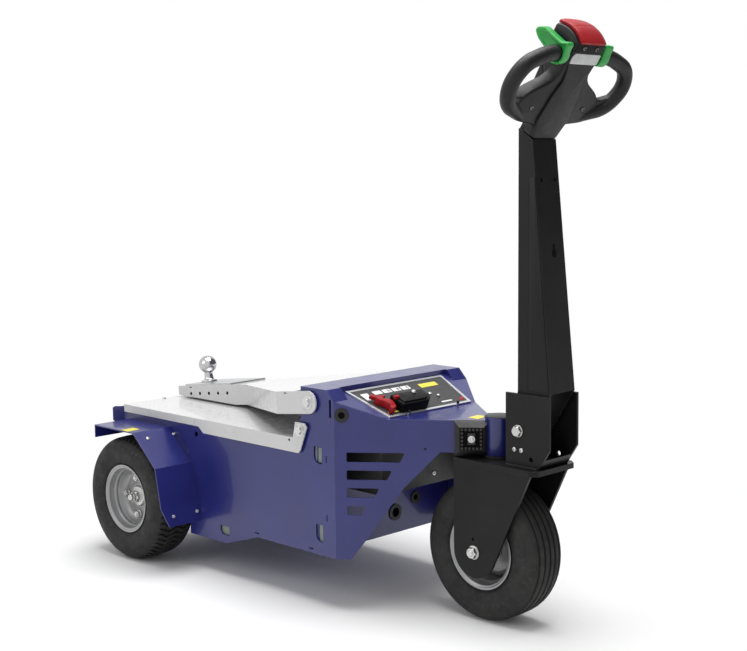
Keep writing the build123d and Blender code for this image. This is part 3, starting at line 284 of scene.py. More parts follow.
def turned(local, profile, count=64):
    """Surface of revolution about the out axis: (r cos f, r sin f, h) for every profile point (r, h)."""
    radius, height = np.array(profile, float).T
    f = np.arange(count) * 2 * np.pi / count
    radius, height = radius[:, None], height[:, None]
    return place(local, radius * np.cos(f), radius * np.sin(f), height), False, True


def ring(local, section, count=96):
    """Closed section (r, h) turned about the out axis."""
    points, _, _ = turned(local, section, count)
    return points, True, True


def pad(local, outline, low, high, edge=1.0, top=(), centre=None):
    """Closed plate: the outline o drawn in by the edge's arc, then towards the centre: c + (o-c) s."""
    o = np.array(outline, float)
    c = o.mean(0) if centre is None else np.array(centre, float)
    run = np.roll(o, -1, 0) - np.roll(o, 1, 0)
    normal = np.stack([run[:, 1], -run[:, 0]], -1) / np.maximum(np.linalg.norm(run, axis=1), 1e-9)[:, None]
    area = np.sum(o[:, 0] * np.roll(o[:, 1], -1) - np.roll(o[:, 0], -1) * o[:, 1])
    normal *= np.sign(area)
    turn = np.linspace(0, np.pi / 2, EDGE_STEPS)
    inset = np.concatenate([edge * (1 - np.sin(turn)), edge * (1 - np.cos(turn))])
    height = np.concatenate([low + edge * (1 - np.cos(turn)), high - edge * (1 - np.sin(turn))])
    rings = [c + 0 * o, *(o - normal * i for i in inset)]
    heights = [low, *height]
    for shrink, rise in (*top, (0.0, top[-1][1] if top else 0.0)):
        rings.append(c + (o - normal * edge - c) * shrink)
        heights.append(high + rise)
    rings = np.stack(rings)
    return place(local, rings[..., 0], rings[..., 1], np.array(heights, float)[:, None]), False, True


def tube(local, route, radius, count=20):
    """Bar along a route: p + r (cos f side + sin f out), closed by end rings of no radius."""
    p = np.array(route, float)
    p = np.concatenate([p[:1], p, p[-1:]])
    r = np.broadcast_to(np.array(radius, float), len(route))
    r = np.concatenate([[0], r, [0]])
    run = np.gradient(p, axis=0)
    run[0], run[-1] = run[1], run[-2]
    side = np.stack([run[:, 1], -run[:, 0]], -1) / np.linalg.norm(run, axis=1)[:, None]
    f = np.arange(count) * 2 * np.pi / count
    flat = p[:, None] + (r[:, None] * np.cos(f))[..., None] * side[:, None]
    return place(local, flat[..., 0], flat[..., 1], r[:, None] * np.sin(f)), False, True


def hexagon(local, flats, low, high, count=48):
    """Hexagon head: its radius is flats / 2 cos(angle from the flat's middle), cut by the chamfer."""
    f = np.arange(count) * 2 * np.pi / count
    side = flats / 2 / np.cos((f % (np.pi / 3)) - np.pi / 6)
    corner, chamfer = flats / math.sqrt(3), CHAMFER_SHARE * flats
    levels = np.array([(0, low), (corner, low), (corner, high - chamfer), (0.47 * flats, high), (0, high)])
    radius = np.minimum(side[None], levels[:, :1])
    return place(local, radius * np.cos(f), radius * np.sin(f), levels[:, 1:]), False, True


def shank(local, radius, behind, proud, count=32):
    """Plain round bar from behind the frame to proud of it, turned."""
    return turned(local, [(0, -behind), (radius, -behind), (radius, proud), (0, proud)], count)


def socket_head(local, radius, height):
    """Button-head screw with a round recess for the key, turned."""
    shares = [(1, 0.35), (0.86, 0.8), (0.6, 1), (0.46, 1), (0.42, 0.35), (0, 0.3)]
    profile = [(0, -0.5), (radius, -0.5), *((radius * r, height * h) for r, h in shares)]
    return turned(local, profile, 32)


def screws(spots, radius, height):
    """Socket-head screws standing on each frame."""
    return [socket_head(spot, radius, height) for spot in spots]


def washer(local, radius, hole, height):
    """Flat ring with softened edges."""
    section = rounded([(hole, 0), (radius, 0), (radius, height), (hole, height)], 0.4, 3, True)
    return ring(local, section, 40)


# Finishes

def node_material(name):
    """New node material, its nodes and links, and its Principled shader."""
    material = bpy.data.materials.new(name)
    material.use_nodes = True
    tree = material.node_tree
    return material, tree.nodes, tree.links, tree.nodes["Principled BSDF"]


def object_noise(nodes, links, scale, detail, stretch=(1, 1, 1)):
    """Noise on Object coordinates, stretched along an axis for brushed or swept marks."""
    place_on = nodes.new("ShaderNodeTexCoord")
    mapping = nodes.new("ShaderNodeMapping")
    mapping.inputs["Scale"].default_value = stretch
    noise = nodes.new("ShaderNodeTexNoise")
    noise.inputs["Scale"].default_value = scale
    noise.inputs["Detail"].default_value = detail
    links.new(place_on.outputs["Object"], mapping.inputs["Vector"])
    links.new(mapping.outputs["Vector"], noise.inputs["Vector"])
    return noise.outputs["Fac"]


def between(nodes, links, source, source_low, source_high, low, high):
    """Source values from source_low to source_high mapped to low to high and held beyond."""
    mapped = nodes.new("ShaderNodeMapRange")
    values = {"From Min": source_low, "From Max": source_high, "To Min": low, "To Max": high}
    for socket, value in values.items():
        mapped.inputs[socket].default_value = value
    links.new(source, mapped.inputs["Value"])
    return mapped.outputs["Result"]


def mixed_colour(nodes, links, amount, first, second):
    """Colour between first and second by amount; each is a plain colour or a node's output."""
    mix = nodes.new("ShaderNodeMix")
    mix.data_type = "RGBA"
    links.new(amount, mix.inputs[0])
    for socket, colour in ((mix.inputs[6], first), (mix.inputs[7], second)):
        if isinstance(colour, tuple):
            socket.default_value = (*colour, 1)
        else:
            links.new(colour, socket)
    return mix.outputs[2]


def combined(nodes, links, operation, first, second):
    """Result of a math node for two outputs."""
    node = nodes.new("ShaderNodeMath")
    node.operation = operation
    links.new(first, node.inputs[0])
    links.new(second, node.inputs[1])
    return node.outputs[0]


def worn_and_highlit_edges(nodes, links, width, wear_scale):
    """Softened normal over the edges, and a mask that is 1 on the edge where broad noise wears it; the
    lighter edge colour it lets in is wear and a painted highlight.
    """
    soft = nodes.new("ShaderNodeBevel")
    soft.samples = 4
    soft.inputs["Radius"].default_value = width
    geometry = nodes.new("ShaderNodeNewGeometry")
    dot = nodes.new("ShaderNodeVectorMath")
    dot.operation = "DOT_PRODUCT"
    links.new(soft.outputs["Normal"], dot.inputs[0])
    links.new(geometry.outputs["True Normal"], dot.inputs[1])
    edge = between(nodes, links, dot.outputs["Value"], 0.8, 0.96, 1, 0)
    patches = between(nodes, links, object_noise(nodes, links, wear_scale, 3), 0.4, 0.62, 0.15, 1)
    return soft.outputs["Normal"], combined(nodes, links, "MULTIPLY", edge, patches)


def grain_bump(nodes, links, shader, height, strength, depth, normal=None):
    """Fine grain standing proud of the surface, over a softened normal where there is one."""
    bump = nodes.new("ShaderNodeBump")
    bump.inputs["Strength"].default_value = strength
    bump.inputs["Distance"].default_value = depth
    links.new(height, bump.inputs["Height"])
    if normal:
        links.new(normal, bump.inputs["Normal"])
    links.new(bump.outputs["Normal"], shader.inputs["Normal"])


def finish_of(name, colour, drift, rough, grain, depth, metal=0.0, coat=0.0, edge=None, edge_width=0.0012,
              stretch=(1, 1, 1), patch=7.0, coat_rough=0.06, spec=0.5):
    """Surface whose colour drifts in broad patches, with uneven gloss, fine grain and edges lightened for
    wear and a painted highlight.
    """
    material, nodes, links, shader = node_material(name)
    broad = between(nodes, links, object_noise(nodes, links, patch, 4, stretch), 0.35, 0.65, 0, 1)
    result = mixed_colour(nodes, links, broad, colour, drift)
    normal = None
    # The edge colour is partly wear and partly a painted highlight along the edges
    if edge:
        normal, wear_and_highlight_mask = worn_and_highlit_edges(nodes, links, edge_width, EDGE_WEAR_AND_HIGHLIGHT_SCALE)
        result = mixed_colour(nodes, links, wear_and_highlight_mask, result, edge)
    links.new(result, shader.inputs["Base Color"])
    smear = object_noise(nodes, links, patch * 5, 5, stretch)
    links.new(between(nodes, links, smear, 0.3, 0.7, *rough), shader.inputs["Roughness"])
    grain_bump(nodes, links, shader, object_noise(nodes, links, grain, 2, stretch), 0.5, depth, normal)
    values = {"Metallic": metal, "Coat Weight": coat, "Coat Roughness": coat_rough,
              "Specular IOR Level": spec}
    for socket, value in values.items():
        shader.inputs[socket].default_value = value
    return material


def tyre_finish(name):
    """Tyre rubber: dark ground with drifting dust, scuffs, uneven roughness and a fine grain."""
    material, nodes, links, shader = node_material(name)
    dust = between(nodes, links, object_noise(nodes, links, 14, 6), 0.42, 0.7, 0, 0.5)
    rubber = mixed_colour(nodes, links, dust, (0.014, 0.014, 0.014), (0.034, 0.033, 0.031))
    scuffs = between(nodes, links, object_noise(nodes, links, 90, 6), 0.55, 0.75, 0, 0.35)
    scuffed = mixed_colour(nodes, links, scuffs, rubber, (0.07, 0.068, 0.065))
    links.new(scuffed, shader.inputs["Base Color"])
    smear = object_noise(nodes, links, 40, 4)
    links.new(between(nodes, links, smear, 0.3, 0.7, 0.55, 0.78), shader.inputs["Roughness"])
    shader.inputs["Specular IOR Level"].default_value = 0.3
    grain_bump(nodes, links, shader, object_noise(nodes, links, 420, 3), 0.4, 0.0006)
    return material


def grey(value):
    """Neutral grey of one value."""
    return value, value, value


# Edge colours are lighter tints of their bases: edge wear and a painted highlight
BLUE = finish_of("blue_gloss_paint", (0.015, 0.018, 0.150), (0.011, 0.013, 0.125), (0.28, 0.36), 500, 0.00002,
                 coat=0.35, edge=(0.12, 0.13, 0.36), coat_rough=0.04, spec=0.45)
PALE = finish_of("pale_grey_paint", grey(0.575), (0.57, 0.57, 0.571), (0.27, 0.28), 900, 0.000001,
                 coat=0.4, coat_rough=0.03, patch=3)
BLACK = finish_of("black_powder_coat", (0.0055, 0.0055, 0.0058), grey(0.0085), (0.34, 0.44), 700, 0.00005,
                  edge=grey(0.09), edge_width=0.0009, spec=0.21)
DARK_GREY = finish_of("inner_dark_grey", (0.05, 0.05, 0.047), (0.035, 0.035, 0.033), (0.4, 0.6), 500, 0.0002,
                      edge=grey(0.12))
MOULDED = finish_of("moulded_black_plastic", (0.0075, 0.0075, 0.008), grey(0.012), (0.36, 0.48), 900, 0.00008,
                    patch=16, spec=0.25)
GRIP_SKIN = finish_of("soft_grip_skin", (0.0075, 0.0075, 0.008), grey(0.012), (0.4, 0.52), 900, 0.0001,
                      patch=20, spec=0.3)
PANEL_FOIL = finish_of("dark_panel_foil", (0.036, 0.036, 0.038), (0.046, 0.046, 0.048), (0.34, 0.46),
                       900, 0.00003, spec=0.3)
PANEL_METAL = finish_of("brushed_panel_frame", (0.62, 0.63, 0.64), (0.5, 0.51, 0.52), (0.28, 0.42),
                        900, 0.00006, metal=0.85, edge=grey(0.9), stretch=(1, 0.06, 1))
SOCKET_BLACK = finish_of("socket_black_plastic", grey(0.003), grey(0.005), (0.4, 0.5), 900, 0.00005,
                         spec=0.12)
RUBBER = finish_of("bumper_rubber", grey(0.009), (0.014, 0.014, 0.0135), (0.42, 0.55), 500, 0.0001,
                   edge=grey(0.12), edge_width=0.0005, spec=0.4)
ZINC = finish_of("zinc_plated_steel", (0.66, 0.66, 0.65), (0.5, 0.5, 0.49), (0.22, 0.38), 600, 0.00008,
                 metal=1.0, edge=grey(0.85), edge_width=0.0006)
STEEL_PLATE = finish_of("ground_steel_plate", (0.55, 0.56, 0.57), (0.42, 0.43, 0.44), (0.25, 0.4),
                        700, 0.00008, metal=0.9, stretch=(0.08, 1, 1))
CHROME = finish_of("chromed_ball", (0.56, 0.56, 0.57), (0.47, 0.47, 0.48), (0.08, 0.16), 300, 0.00002,
                   metal=1.0)
RIM_SILVER = finish_of("silver_rim_paint", (0.34, 0.34, 0.345), (0.27, 0.27, 0.275), (0.28, 0.42),
                       900, 0.0001, metal=0.35, coat=0.3, patch=12)
RED = finish_of("red_button_plastic", (0.34, 0.010, 0.015), (0.28, 0.008, 0.012), (0.36, 0.46),
                900, 0.00006, patch=14, spec=0.2)
GREEN = finish_of("green_throttle_plastic", (0.025, 0.37, 0.062), (0.02, 0.30, 0.05), (0.3, 0.42),
                  1200, 0.0001, patch=14)
LIGHT_BLANK = finish_of("light_grey_blank", (0.56, 0.57, 0.56), (0.48, 0.49, 0.485), (0.35, 0.5),
                        1400, 0.0001, patch=30)
WHITE_BLANK = finish_of("white_label_blank", grey(0.84), (0.76, 0.77, 0.78), (0.3, 0.42), 1500, 0.00005,
                        patch=40)
YELLOW_BLANK = finish_of("yellow_label_blank", (0.80, 0.68, 0.055), (0.70, 0.60, 0.05), (0.3, 0.42),
                         1500, 0.00005, patch=40)
DARK_STEEL = finish_of("blackened_screw_steel", grey(0.16), grey(0.11), (0.2, 0.34), 700, 0.00006, metal=1.0)
STUD_RUBBER = finish_of("stud_rubber", grey(0.02), (0.03, 0.03, 0.029), (0.45, 0.6), 500, 0.0001, spec=0.4)
# Grey that paints the sheen of the box seen through the side openings
SHEEN_GREY = finish_of("painted_sheen_grey", (0.22, 0.25, 0.22), (0.17, 0.19, 0.17), (0.45, 0.6), 400, 0.00006)
# Near-black finish that paints the shade in holes, slits, seams and gaps
PAINTED_SHADE = finish_of("hole_shadow", grey(0.002), grey(0.004), (0.8, 0.95), 300, 0.0001, spec=0.1)
TYRE = tyre_finish("tyre_rubber")

CAD_FINISHES = {
    BLUE: ("left_side_plate", "right_side_plate", "left_nose_panel", "right_nose_panel", "left_wheel_house",
           "right_wheel_house", "left_fender", "right_fender", "hood", "head_tube", "bulkhead", "floor_tray",
           "rear_plate"),
    RUBBER: ("left_bumper", "right_bumper", "grommets"),
    BLACK: ("fork", "tiller_base", "tiller_column", "steering_bearing", "transaxle"),
    ZINC: ("pivot_bolts", "front_axle", "stem", "tilt_bolt", "left_hub", "right_hub", "front_hub"),
    PANEL_METAL: ("panel_frame",),
    PANEL_FOIL: ("control_plate",),
    SOCKET_BLACK: ("socket_block",),
    DARK_GREY: ("battery", "electronics_box"),
    RED: ("red_plug", "belly_button"),
    GREEN: ("throttles",),
    LIGHT_BLANK: ("face_plate",),
    MOULDED: ("tiller_head",),
    GRIP_SKIN: ("left_grip", "right_grip"),
    PALE: ("boom", "cover"),
    STEEL_PLATE: ("ball_plate",),
    CHROME: ("tow_ball",),
    TYRE: ("left_tyre", "right_tyre", "front_tyre"),
    RIM_SILVER: ("left_rim", "right_rim", "front_rim"),
}


def dress_nodes():
    """Gives every CAD node its finish."""
    for finish, names in CAD_FINISHES.items():
        for name in names:
            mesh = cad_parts[name].data
            mesh.materials.clear()
            mesh.materials.append(finish)


# Wheels

def wheel_seat(x, y):
    """Frame of a wheel: along forward, out to the left, on the wheel's middle plane."""
    return seat((x, y, TYRE_RADIUS), (1, 0, 0), (0, 1, 0))


def carcass(width, crown_rows):
    """Tyre section from bead to bead as (y, r): sidewall bulge, shoulder and crown, dense on the tread."""
    half, rim, crown = width / 2, RIM_RADIUS, TYRE_RADIUS
    corners = [(half - 12, rim - 10), (half - 12, rim + 1), (half - 5, rim + 6), (half, rim + 24),
               (half, crown - 29), (half - 7, crown - 10), (half - 20, crown - 2), (0, crown)]
    side = rounded(corners, (0, 1.5, 5, 12, 14, 9, 10, 0), 7)
    run = np.concatenate([[0], np.cumsum(np.linalg.norm(np.diff(side, axis=0), axis=1))])
    tread_from = 62
    at = np.concatenate([np.linspace(0, tread_from, 22)[:-1], np.linspace(tread_from, run[-1], crown_rows)])
    y, r = np.interp(at, run, side[:, 0]), np.interp(at, run, side[:, 1])
    bands = np.maximum(0, 1 - abs(r[:, None] - np.array(SIDEWALL_BAND_RADII)) / 2.6).sum(1)
    y = y - 0.8 * bands * (at < tread_from + 4)
    return np.concatenate([y, -y[-2::-1]]), np.concatenate([r, r[-2::-1]])


def block_tyre(local):
    """Rear tyre: 60 pitches of lug and groove, whose line zigzags with y and fades at the shoulder."""
    y, r = carcass(REAR_TYRE_WIDTH, 34)
    pitches, depth, wave, zigzag_share = 60, 5.2, 46.0, 0.36
    share = np.array([0.0, 0.2, 0.4, 0.56, 0.64, 0.92])
    cut = np.array([0.0, 0, 0, 0, 1, 1])
    turn = ((np.arange(pitches)[:, None] + share) / pitches * 2 * np.pi).ravel()
    fade = np.clip((REAR_TYRE_WIDTH / 2 - 11 - abs(y)) / 4, 0, 1) * (r > TYRE_RADIUS - 25)
    zigzag = abs(2 * (y / wave - np.floor(y / wave + 0.5))) * 2 - 1
    turn = turn + (fade * zigzag * zigzag_share * 2 * np.pi / pitches)[:, None]
    radius = r[:, None] - depth * fade[:, None] * np.tile(cut, pitches)
    return place(local, radius * np.cos(turn), radius * np.sin(turn), y[:, None]), True, True


def ribbed_tyre(local):
    """Front tyre: the carcass with five grooves round the crown, cut 5 mm down with sloping walls."""
    y, r = carcass(FRONT_TYRE_WIDTH, 74)
    middles = np.arange(-2, 3) * GROOVE_PITCH
    radius = r - 5.0 * np.clip((2.9 - abs(y[:, None] - middles)) / 1.1, 0, 1).sum(1)
    turn = np.arange(160) * 2 * np.pi / 160
    radius = radius[:, None]
    return place(local, radius * np.cos(turn), radius * np.sin(turn), y[:, None]), True, True


def rim_shell(local, width, disc_at):
    """Pressed rim: lips, bead steps and drop well as one closed section, and the dished disc joined to it."""
    lip = width / 2 - 8
    seen = [(91.5, lip), (87.0, lip), (84.0, lip - 2.5), (80.5, lip - 3.5), (78.6, lip - 17),
            (75.0, lip - 20), (73.0, lip - 23)]
    hidden = [(82.0, lip - 4), (76.5, lip - 20)]
    section = seen + [(r, -h) for r, h in (*reversed(seen), *hidden)] + hidden[::-1]
    disc = [(27.0, 2), (34.0, 2), (36.5, 0.6), (57.0, 0.6), (63.0, 3.4), (68.0, 9.0), (73.4, 19.0),
            (73.4, 15.0), (65.5, 4.5), (58.0, -2), (27.0, -2)]
    dished = rounded(np.array(disc) + (0, disc_at), 2.2, 4, True)
    return [ring(local, rounded(section, 1.6, 4, True)), ring(local, dished)]


def valve(local, angle, radius, low, high):
    """Valve stem with its cap: turned, standing on the disc near the well."""
    foot = moved(local, radius * math.cos(angle), radius * math.sin(angle))
    stem = [(0, low), (5, low), (4.6, low + 4), (3.4, low + 7), (3.2, high - 9)]
    cap = [(4.1, high - 8.6), (4.1, high - 1), (3.2, high), (0, high)]
    return turned(foot, rounded(stem + cap, 0.6, 3), 20)


def wheel_nuts(local, face):
    """Four hexagon nuts on washers with their stud ends, on the wheel's bolt circle."""
    grids = []
    for angle in np.arange(4) * math.pi / 2:
        spot = moved(local, BOLT_CIRCLE_RADIUS * math.cos(angle), BOLT_CIRCLE_RADIUS * math.sin(angle), face)
        grids += [turned(spot, [(0, -1), (10.5, 0), (10.5, 1.6), (9, 2.2), (0, 2.2)], 28),
                  hexagon(spot, 17, 1, 11),
                  turned(spot, [(0, 0), (5, 8), (5, 13.5), (4.2, 14.3), (0, 14.3)], 20)]
    return grids


def castle_crown(local):
    """Crown of the castle nut: a turned collar whose top drops to 28.5 in six slots."""
    turn = np.arange(72) * 2 * np.pi / 72
    slotted = abs((turn + np.pi / 6) % (np.pi / 3) - np.pi / 6) < 0.17
    levels = np.array([(0, 25), (12.5, 25), (12.5, 33), (9.6, 34), (9.6, 27)])
    height = np.where(slotted[None], np.minimum(levels[:, 1:], 28.5), levels[:, 1:])
    return place(local, levels[:, :1] * np.cos(turn), levels[:, :1] * np.sin(turn), height), False, True


def rear_hub(local):
    """Nave with flange and drive shaft, washer, castle nut, spindle end, split pin and wheel nuts."""
    nave = [(0, -184), (15, -184), (15, -63), (26, -63), (26, -1.5), (60, -1.5), (62, 0.5), (62, 5.5),
            (60, 6.5), (27, 6.5), (27, 12.5), (25, 15), (20, 15.6), (0, 15.6)]
    spindle = rounded([(0, 20), (9.2, 20), (9.2, 39), (7.2, 41.3), (2.5, 41.3), (1.5, 39), (0, 39)], 0.6, 3)
    pin_place, along, across, out = moved(local, c=31)
    pin = rounded([(-15, -3), (-13.5, 0), (13, 0), (17, 4), (15, 8)], 2, 4)
    split_pin = tube((pin_place, along, out, across), pin, 1.7, 12)
    return [turned(local, nave, 72), washer(local, 19, 9, 17.4), hexagon(local, 29, 17, 27),
            castle_crown(local), turned(local, spindle, 40), split_pin, *wheel_nuts(local, 10.5)]


def wheels():
    """Tyres, rims and hubs in place of the CAD ones, and the valves."""
    left = wheel_seat(0, REAR_WHEEL_Y)
    front = wheel_seat(WHEELBASE, 0)
    bodies = ("left_wheel", "right_wheel")
    front_rim = rim_shell(front, FRONT_TYRE_WIDTH, 0)
    pair("block_tyre", [block_tyre(left)], bodies, TYRE, "tyre")
    pair("dished_rim", rim_shell(left, REAR_TYRE_WIDTH, 8.5), bodies, RIM_SILVER, "rim")
    pair("slotted_nut_hub", rear_hub(left), bodies, ZINC, "hub")
    pair("valve", [valve(left, 0.6, 66, 6, 34)], bodies, RUBBER)
    piece("ribbed_tyre", [ribbed_tyre(front)], "front_wheel", TYRE, ("front_tyre",))
    piece("front_dished_rim", front_rim, "front_wheel", RIM_SILVER, ("front_rim",))
    piece("front_valve", [valve(front, 2.2, 66, 0, 26)], "front_wheel", RUBBER)


# Tiller head

def head_frame(across=0.0, up=0.0, ahead=0.0):
    """Frame on the head's face: along to the left, across up the face, out of the face."""
    lean = math.radians(HEAD_LEAN)
    out = np.array((math.cos(lean), 0, -math.sin(lean)))
    rise = np.array((math.sin(lean), 0, math.cos(lean)))
    return seat(np.array(HEAD_PLACE) + np.array((0, across, 0)) + up * rise + ahead * out, (0, 1, 0), out)


def head_side_frame():
    """Frame in the head's middle plane: along out of the face, across up the face, out to the right."""
    origin, left, up, out = head_frame()
    return origin, out, up, -left


def grip_frame():
    """Frame of the left loop, toed forward from the dome's side: along outwards, across up the face."""
    origin, left, up, out = head_frame(DOME_HALF, 0, GRIP_AHEAD)
    toe = math.radians(GRIP_TOE)
    along = left * math.cos(toe) + out * math.sin(toe)
    return origin, along, up, out * math.cos(toe) - left * math.sin(toe)


def dome():
    """Dome: an arc over straight front and rear lines, as a plate across the head."""
    turn = np.radians(np.linspace(*DOME_ARC, 22))
    arc = np.array(DOME_CENTRE) + DOME_RADIUS * np.stack([np.cos(turn), np.sin(turn)], -1)
    corners = [(-71, 100), (-71, 37), (-38, -8), (-7, -6), (-3, 40), (0, 56), (0, 92)]
    outline = np.concatenate([arc, rounded(corners, (0, 14, 8, 6, 4, 4, 0), 6)])
    return pad(head_side_frame(), outline, -DOME_HALF, DOME_HALF, 4.5, centre=(-40, 50))


def belly_button():
    """Crowned pad on the dome: radius 82.8 - 4.5 (y / 42)^4 less two creases, shrunk at its ends."""
    start, end = DOME_ARC
    half, foot, middle = 42, 72.6, 74.5
    angle = np.array([start - 3, start - 3, start - 2.6, start - 1.6, *np.linspace(start, end, 40),
                      end + 1.6, end + 2.6, end + 3, end + 3])
    size = np.array([0, 0.86, 0.94, 0.985, *np.ones(40), 0.985, 0.94, 0.86, 0])
    across = np.linspace(-half, half, 25)
    crown = 82.8 - 4.5 * (abs(across) / half) ** 4
    y = np.concatenate([[0.6 - half, -half], across, [half, half - 0.6], np.linspace(36, -36, 5)])
    r = np.concatenate([[foot, 74], crown, [74, foot], np.full(5, foot - 0.2)])
    crease = sum(0.7 * np.exp(-((angle - at) / 1.3) ** 2) for at in (83, 97))
    radius = middle + (r - middle) * size[:, None] - crease[:, None] * np.clip((r - 75) / 3, 0, 1)
    turn = np.radians(angle)[:, None]
    along = DOME_CENTRE[0] + radius * np.cos(turn)
    up = DOME_CENTRE[1] + radius * np.sin(turn)
    return place(head_side_frame(), along, up, -y * size[:, None]), False, True


def throttle(frame_of_grip):
    """Butterfly throttle: collar round the grip with two wings, its outer face dished to the grip."""
    origin, along, up, ahead = moved(frame_of_grip, 9, GRIP_ROUTE[0][1])
    corners = [(24, 2), (20, 15), (21, 30), (14, 34), (2, 26), (-14, 28), (-28, 30), (-50, 34), (-65, 25),
               (-66, 16), (-52, 5), (-27, -4), (-20, -14), (-9, -22), (3, -23), (15, -19), (22, -10)]
    dish = ((0.93, 0), (0.86, -1.2), (0.74, -4), (0.4, -5))
    return pad((origin, ahead, up, along), rounded(corners, 6.5, 5, True), 0, 23, 3, dish, centre=(0, 3))


def head_shells():
    """Head housing with its raised face and dome, and the rear shell behind it."""
    face = head_frame()
    shell = both_halves([(40, -134), (50, -103), (108, -97), (141, -86), (150, -68), (119, -27), (64, 1),
                         (50, 20), (46, 58)])
    reach = (6, 12, 20, 16, 16, 22, 14, 12, 4)
    smooth = rounded(shell, reach + reach[::-1], 6, True)
    raised = both_halves([(39, -133), (46, -106), (52, -88), (45, -33), (33, 6), (38, 30), (47, 50)])
    housing = [pad(face, smooth, -38, -5, 5.5, centre=(0, -60)),
               pad(face, rounded(raised, 5, 4, True), -16, 0, 1.8, centre=(0, -50)), dome()]
    piece("moulded_head", housing, "tiller", MOULDED, ("tiller_head",))
    spine = rounded([(-30, -132), (-37, -128), (-66, -60), (-70, 20), (-30, 30)], (0, 5, 16, 6, 0), 5)
    rear = pad(head_side_frame(), spine, -44, 44, 9, centre=(-36, -20))
    piece("head_rear_shell", [rear], "tiller", MOULDED)


def head_trim():
    """Reversing button, dark band under it, light blank and the head's screws."""
    face = head_frame()
    piece("reversing_button", [belly_button()], "tiller", RED, ("belly_button",))
    band = rounded([(-47, 74.5), (47, 74.5), (46, 93.5), (-46, 93.5)], 2, 4, True)
    piece("dome_trim_band", [pad(face, band, -2, 1.2, 0.8)], "tiller", SOCKET_BLACK)
    blank = rounded([(-46, 48.5), (44, 48.5), (46, 52), (46, 72.5), (-40, 72.5), (-46, 66)], 3, 4, True)
    piece("head_blank", [pad(face, blank, 0, 2, 0.6)], "tiller", LIGHT_BLANK, ("face_plate",))
    places = ((21, 85, 1.2), (88, -61, -5))
    spots = [head_frame(side * y, up, ahead) for y, up, ahead in places for side in SIDES]
    piece("head_screws", screws(spots, 5, 2.6), "tiller", DARK_STEEL)


def grips():
    """Grip loops with the webs that join them to the head, and the throttles round them."""
    route = rounded((*GRIP_ROUTE, (28, -84)), (0, 22, 24, 24, 27, 10, 0), 9)
    tapered = np.interp(route[:, 0], (28, 95), (9, GRIP_RADIUS))
    radius = np.where(route[:, 1] > -30, GRIP_RADIUS, tapered)
    corners = [(64, -38), (92, -40), (114, -32), (126, -24), (130, -32), (108, -66), (66, -74)]
    web = rounded(corners, 4, 4, True)
    loop = [tube(grip_frame(), route, radius, 28), pad(grip_frame(), web, -13, 5, 4)]
    pair("grip_loop", loop, ("tiller", "tiller"), GRIP_SKIN, "grip")
    throttles = both_sides([throttle(grip_frame())])
    piece("butterfly_throttles", throttles, "tiller", GREEN, ("throttles",))


# Column, bracket and fork

def column_front(y, z):
    """Frame on the column's sloping front face."""
    x = COLUMN_FRONT_X - COLUMN_TAPER * (z - COLUMN_FOOT_Z) / COLUMN_RISE
    return facing((x, y, z), (COLUMN_RISE, 0, COLUMN_TAPER))


def column_side():
    """Frame on the column's right face, which leans in towards the head: along forward, across up."""
    return seat((COLUMN_SEAM_X, -COLUMN_HALF, COLUMN_FOOT_Z), (1, 0, 0), (0, -1, 0.00526))


def column_details():
    """Overlapping front channel along the seam, and painted shade in the seam, the small holes and the
    keyhole.
    """
    lap = rounded([(29.5, 2), (86, 2), (44.6, 466), (29.5, 466)], 1.5, 3, True)
    piece("column_lap", both_sides([pad(column_side(), lap, -1, 1.2, 0.6)]), "tiller", BLACK)
    key = rounded(both_halves([(5, -9), (7.5, -4), (7.5, 3), (3.6, 9), (3.2, 21)]), 2.5, 4, True)
    # Dark strip and discs: painted shade in the seam, the small holes and the keyhole
    seam = pad(column_side(), rectangle((28.2, 2), (29.6, 466), 0.3, 2), -0.5, 0.25, 0.1)
    spots = [column_front(y, 1003) for y in (-20, 27)]
    holes = [pad(spot, circle(5.8), -1, 0.25, 0.1) for spot in spots]
    keyhole = pad(column_front(6, 846), key, -1, 0.25, 0.1, centre=(0, 0))
    piece("column_hole_and_seam_shades", [*holes, keyhole, *both_sides([seam])], "tiller", PAINTED_SHADE)
    rim = rounded([(5.6, 0), (6.9, 0), (6.6, 0.6), (5.6, 0.6)], 0.1, 2, True)
    piece("column_hole_rims", [ring(spot, rim, 28) for spot in spots], "tiller", BLACK)


def tilt_bolt():
    """Tilt bolt with a washer and a hexagon at each side, and the bracket's socket screws."""
    grids = [shank(side_frame(*TILT_BOLT, -56), 10, 112, 4)]
    for side in SIDES:
        spot = side_frame(*TILT_BOLT, side * BRACKET_HALF)
        grids += [washer(spot, 13.5, 10, 1.6), hexagon(spot, 22, 1.4, 9.5)]
    piece("tilt_bolt_set", grids, "steering_fork", ZINC, ("tilt_bolt",))
    spots = [side_frame(x, 415, side * BRACKET_HALF) for x in (1120.7, 1140.4) for side in SIDES]
    piece("bracket_screws", screws(spots, 5.6, 4), "steering_fork", ZINC)


def front_axle():
    """Front axle bolt with washers, hexagons and thread ends."""
    thread_end = [(0, 8), (7, 8), (7, 14.5), (5.8, 15.8), (0, 15.8)]
    grids = [shank(side_frame(WHEELBASE, TYRE_RADIUS, -FORK_HALF), 8, 2 * FORK_HALF, 3)]
    for side in SIDES:
        spot = side_frame(WHEELBASE, TYRE_RADIUS, side * FORK_HALF)
        grids += [washer(spot, 16, 8, 2), hexagon(spot, 24, 1.8, 12), turned(spot, thread_end, 24)]
    piece("front_axle_set", grids, "steering_fork", ZINC, ("front_axle",))


def bracket_welds():
    """Weld beads along the bracket's feet on the fork's crown."""
    crown = level_frame(0, 0, FORK_TOP_Z + 1)
    routes = [[(x, side * BRACKET_HALF) for x in (1097, 1183)] for side in SIDES]
    beads = [tube(crown, route, 2.6, 10) for route in routes]
    piece("bracket_welds", beads, "steering_fork", BLACK)


# Chassis

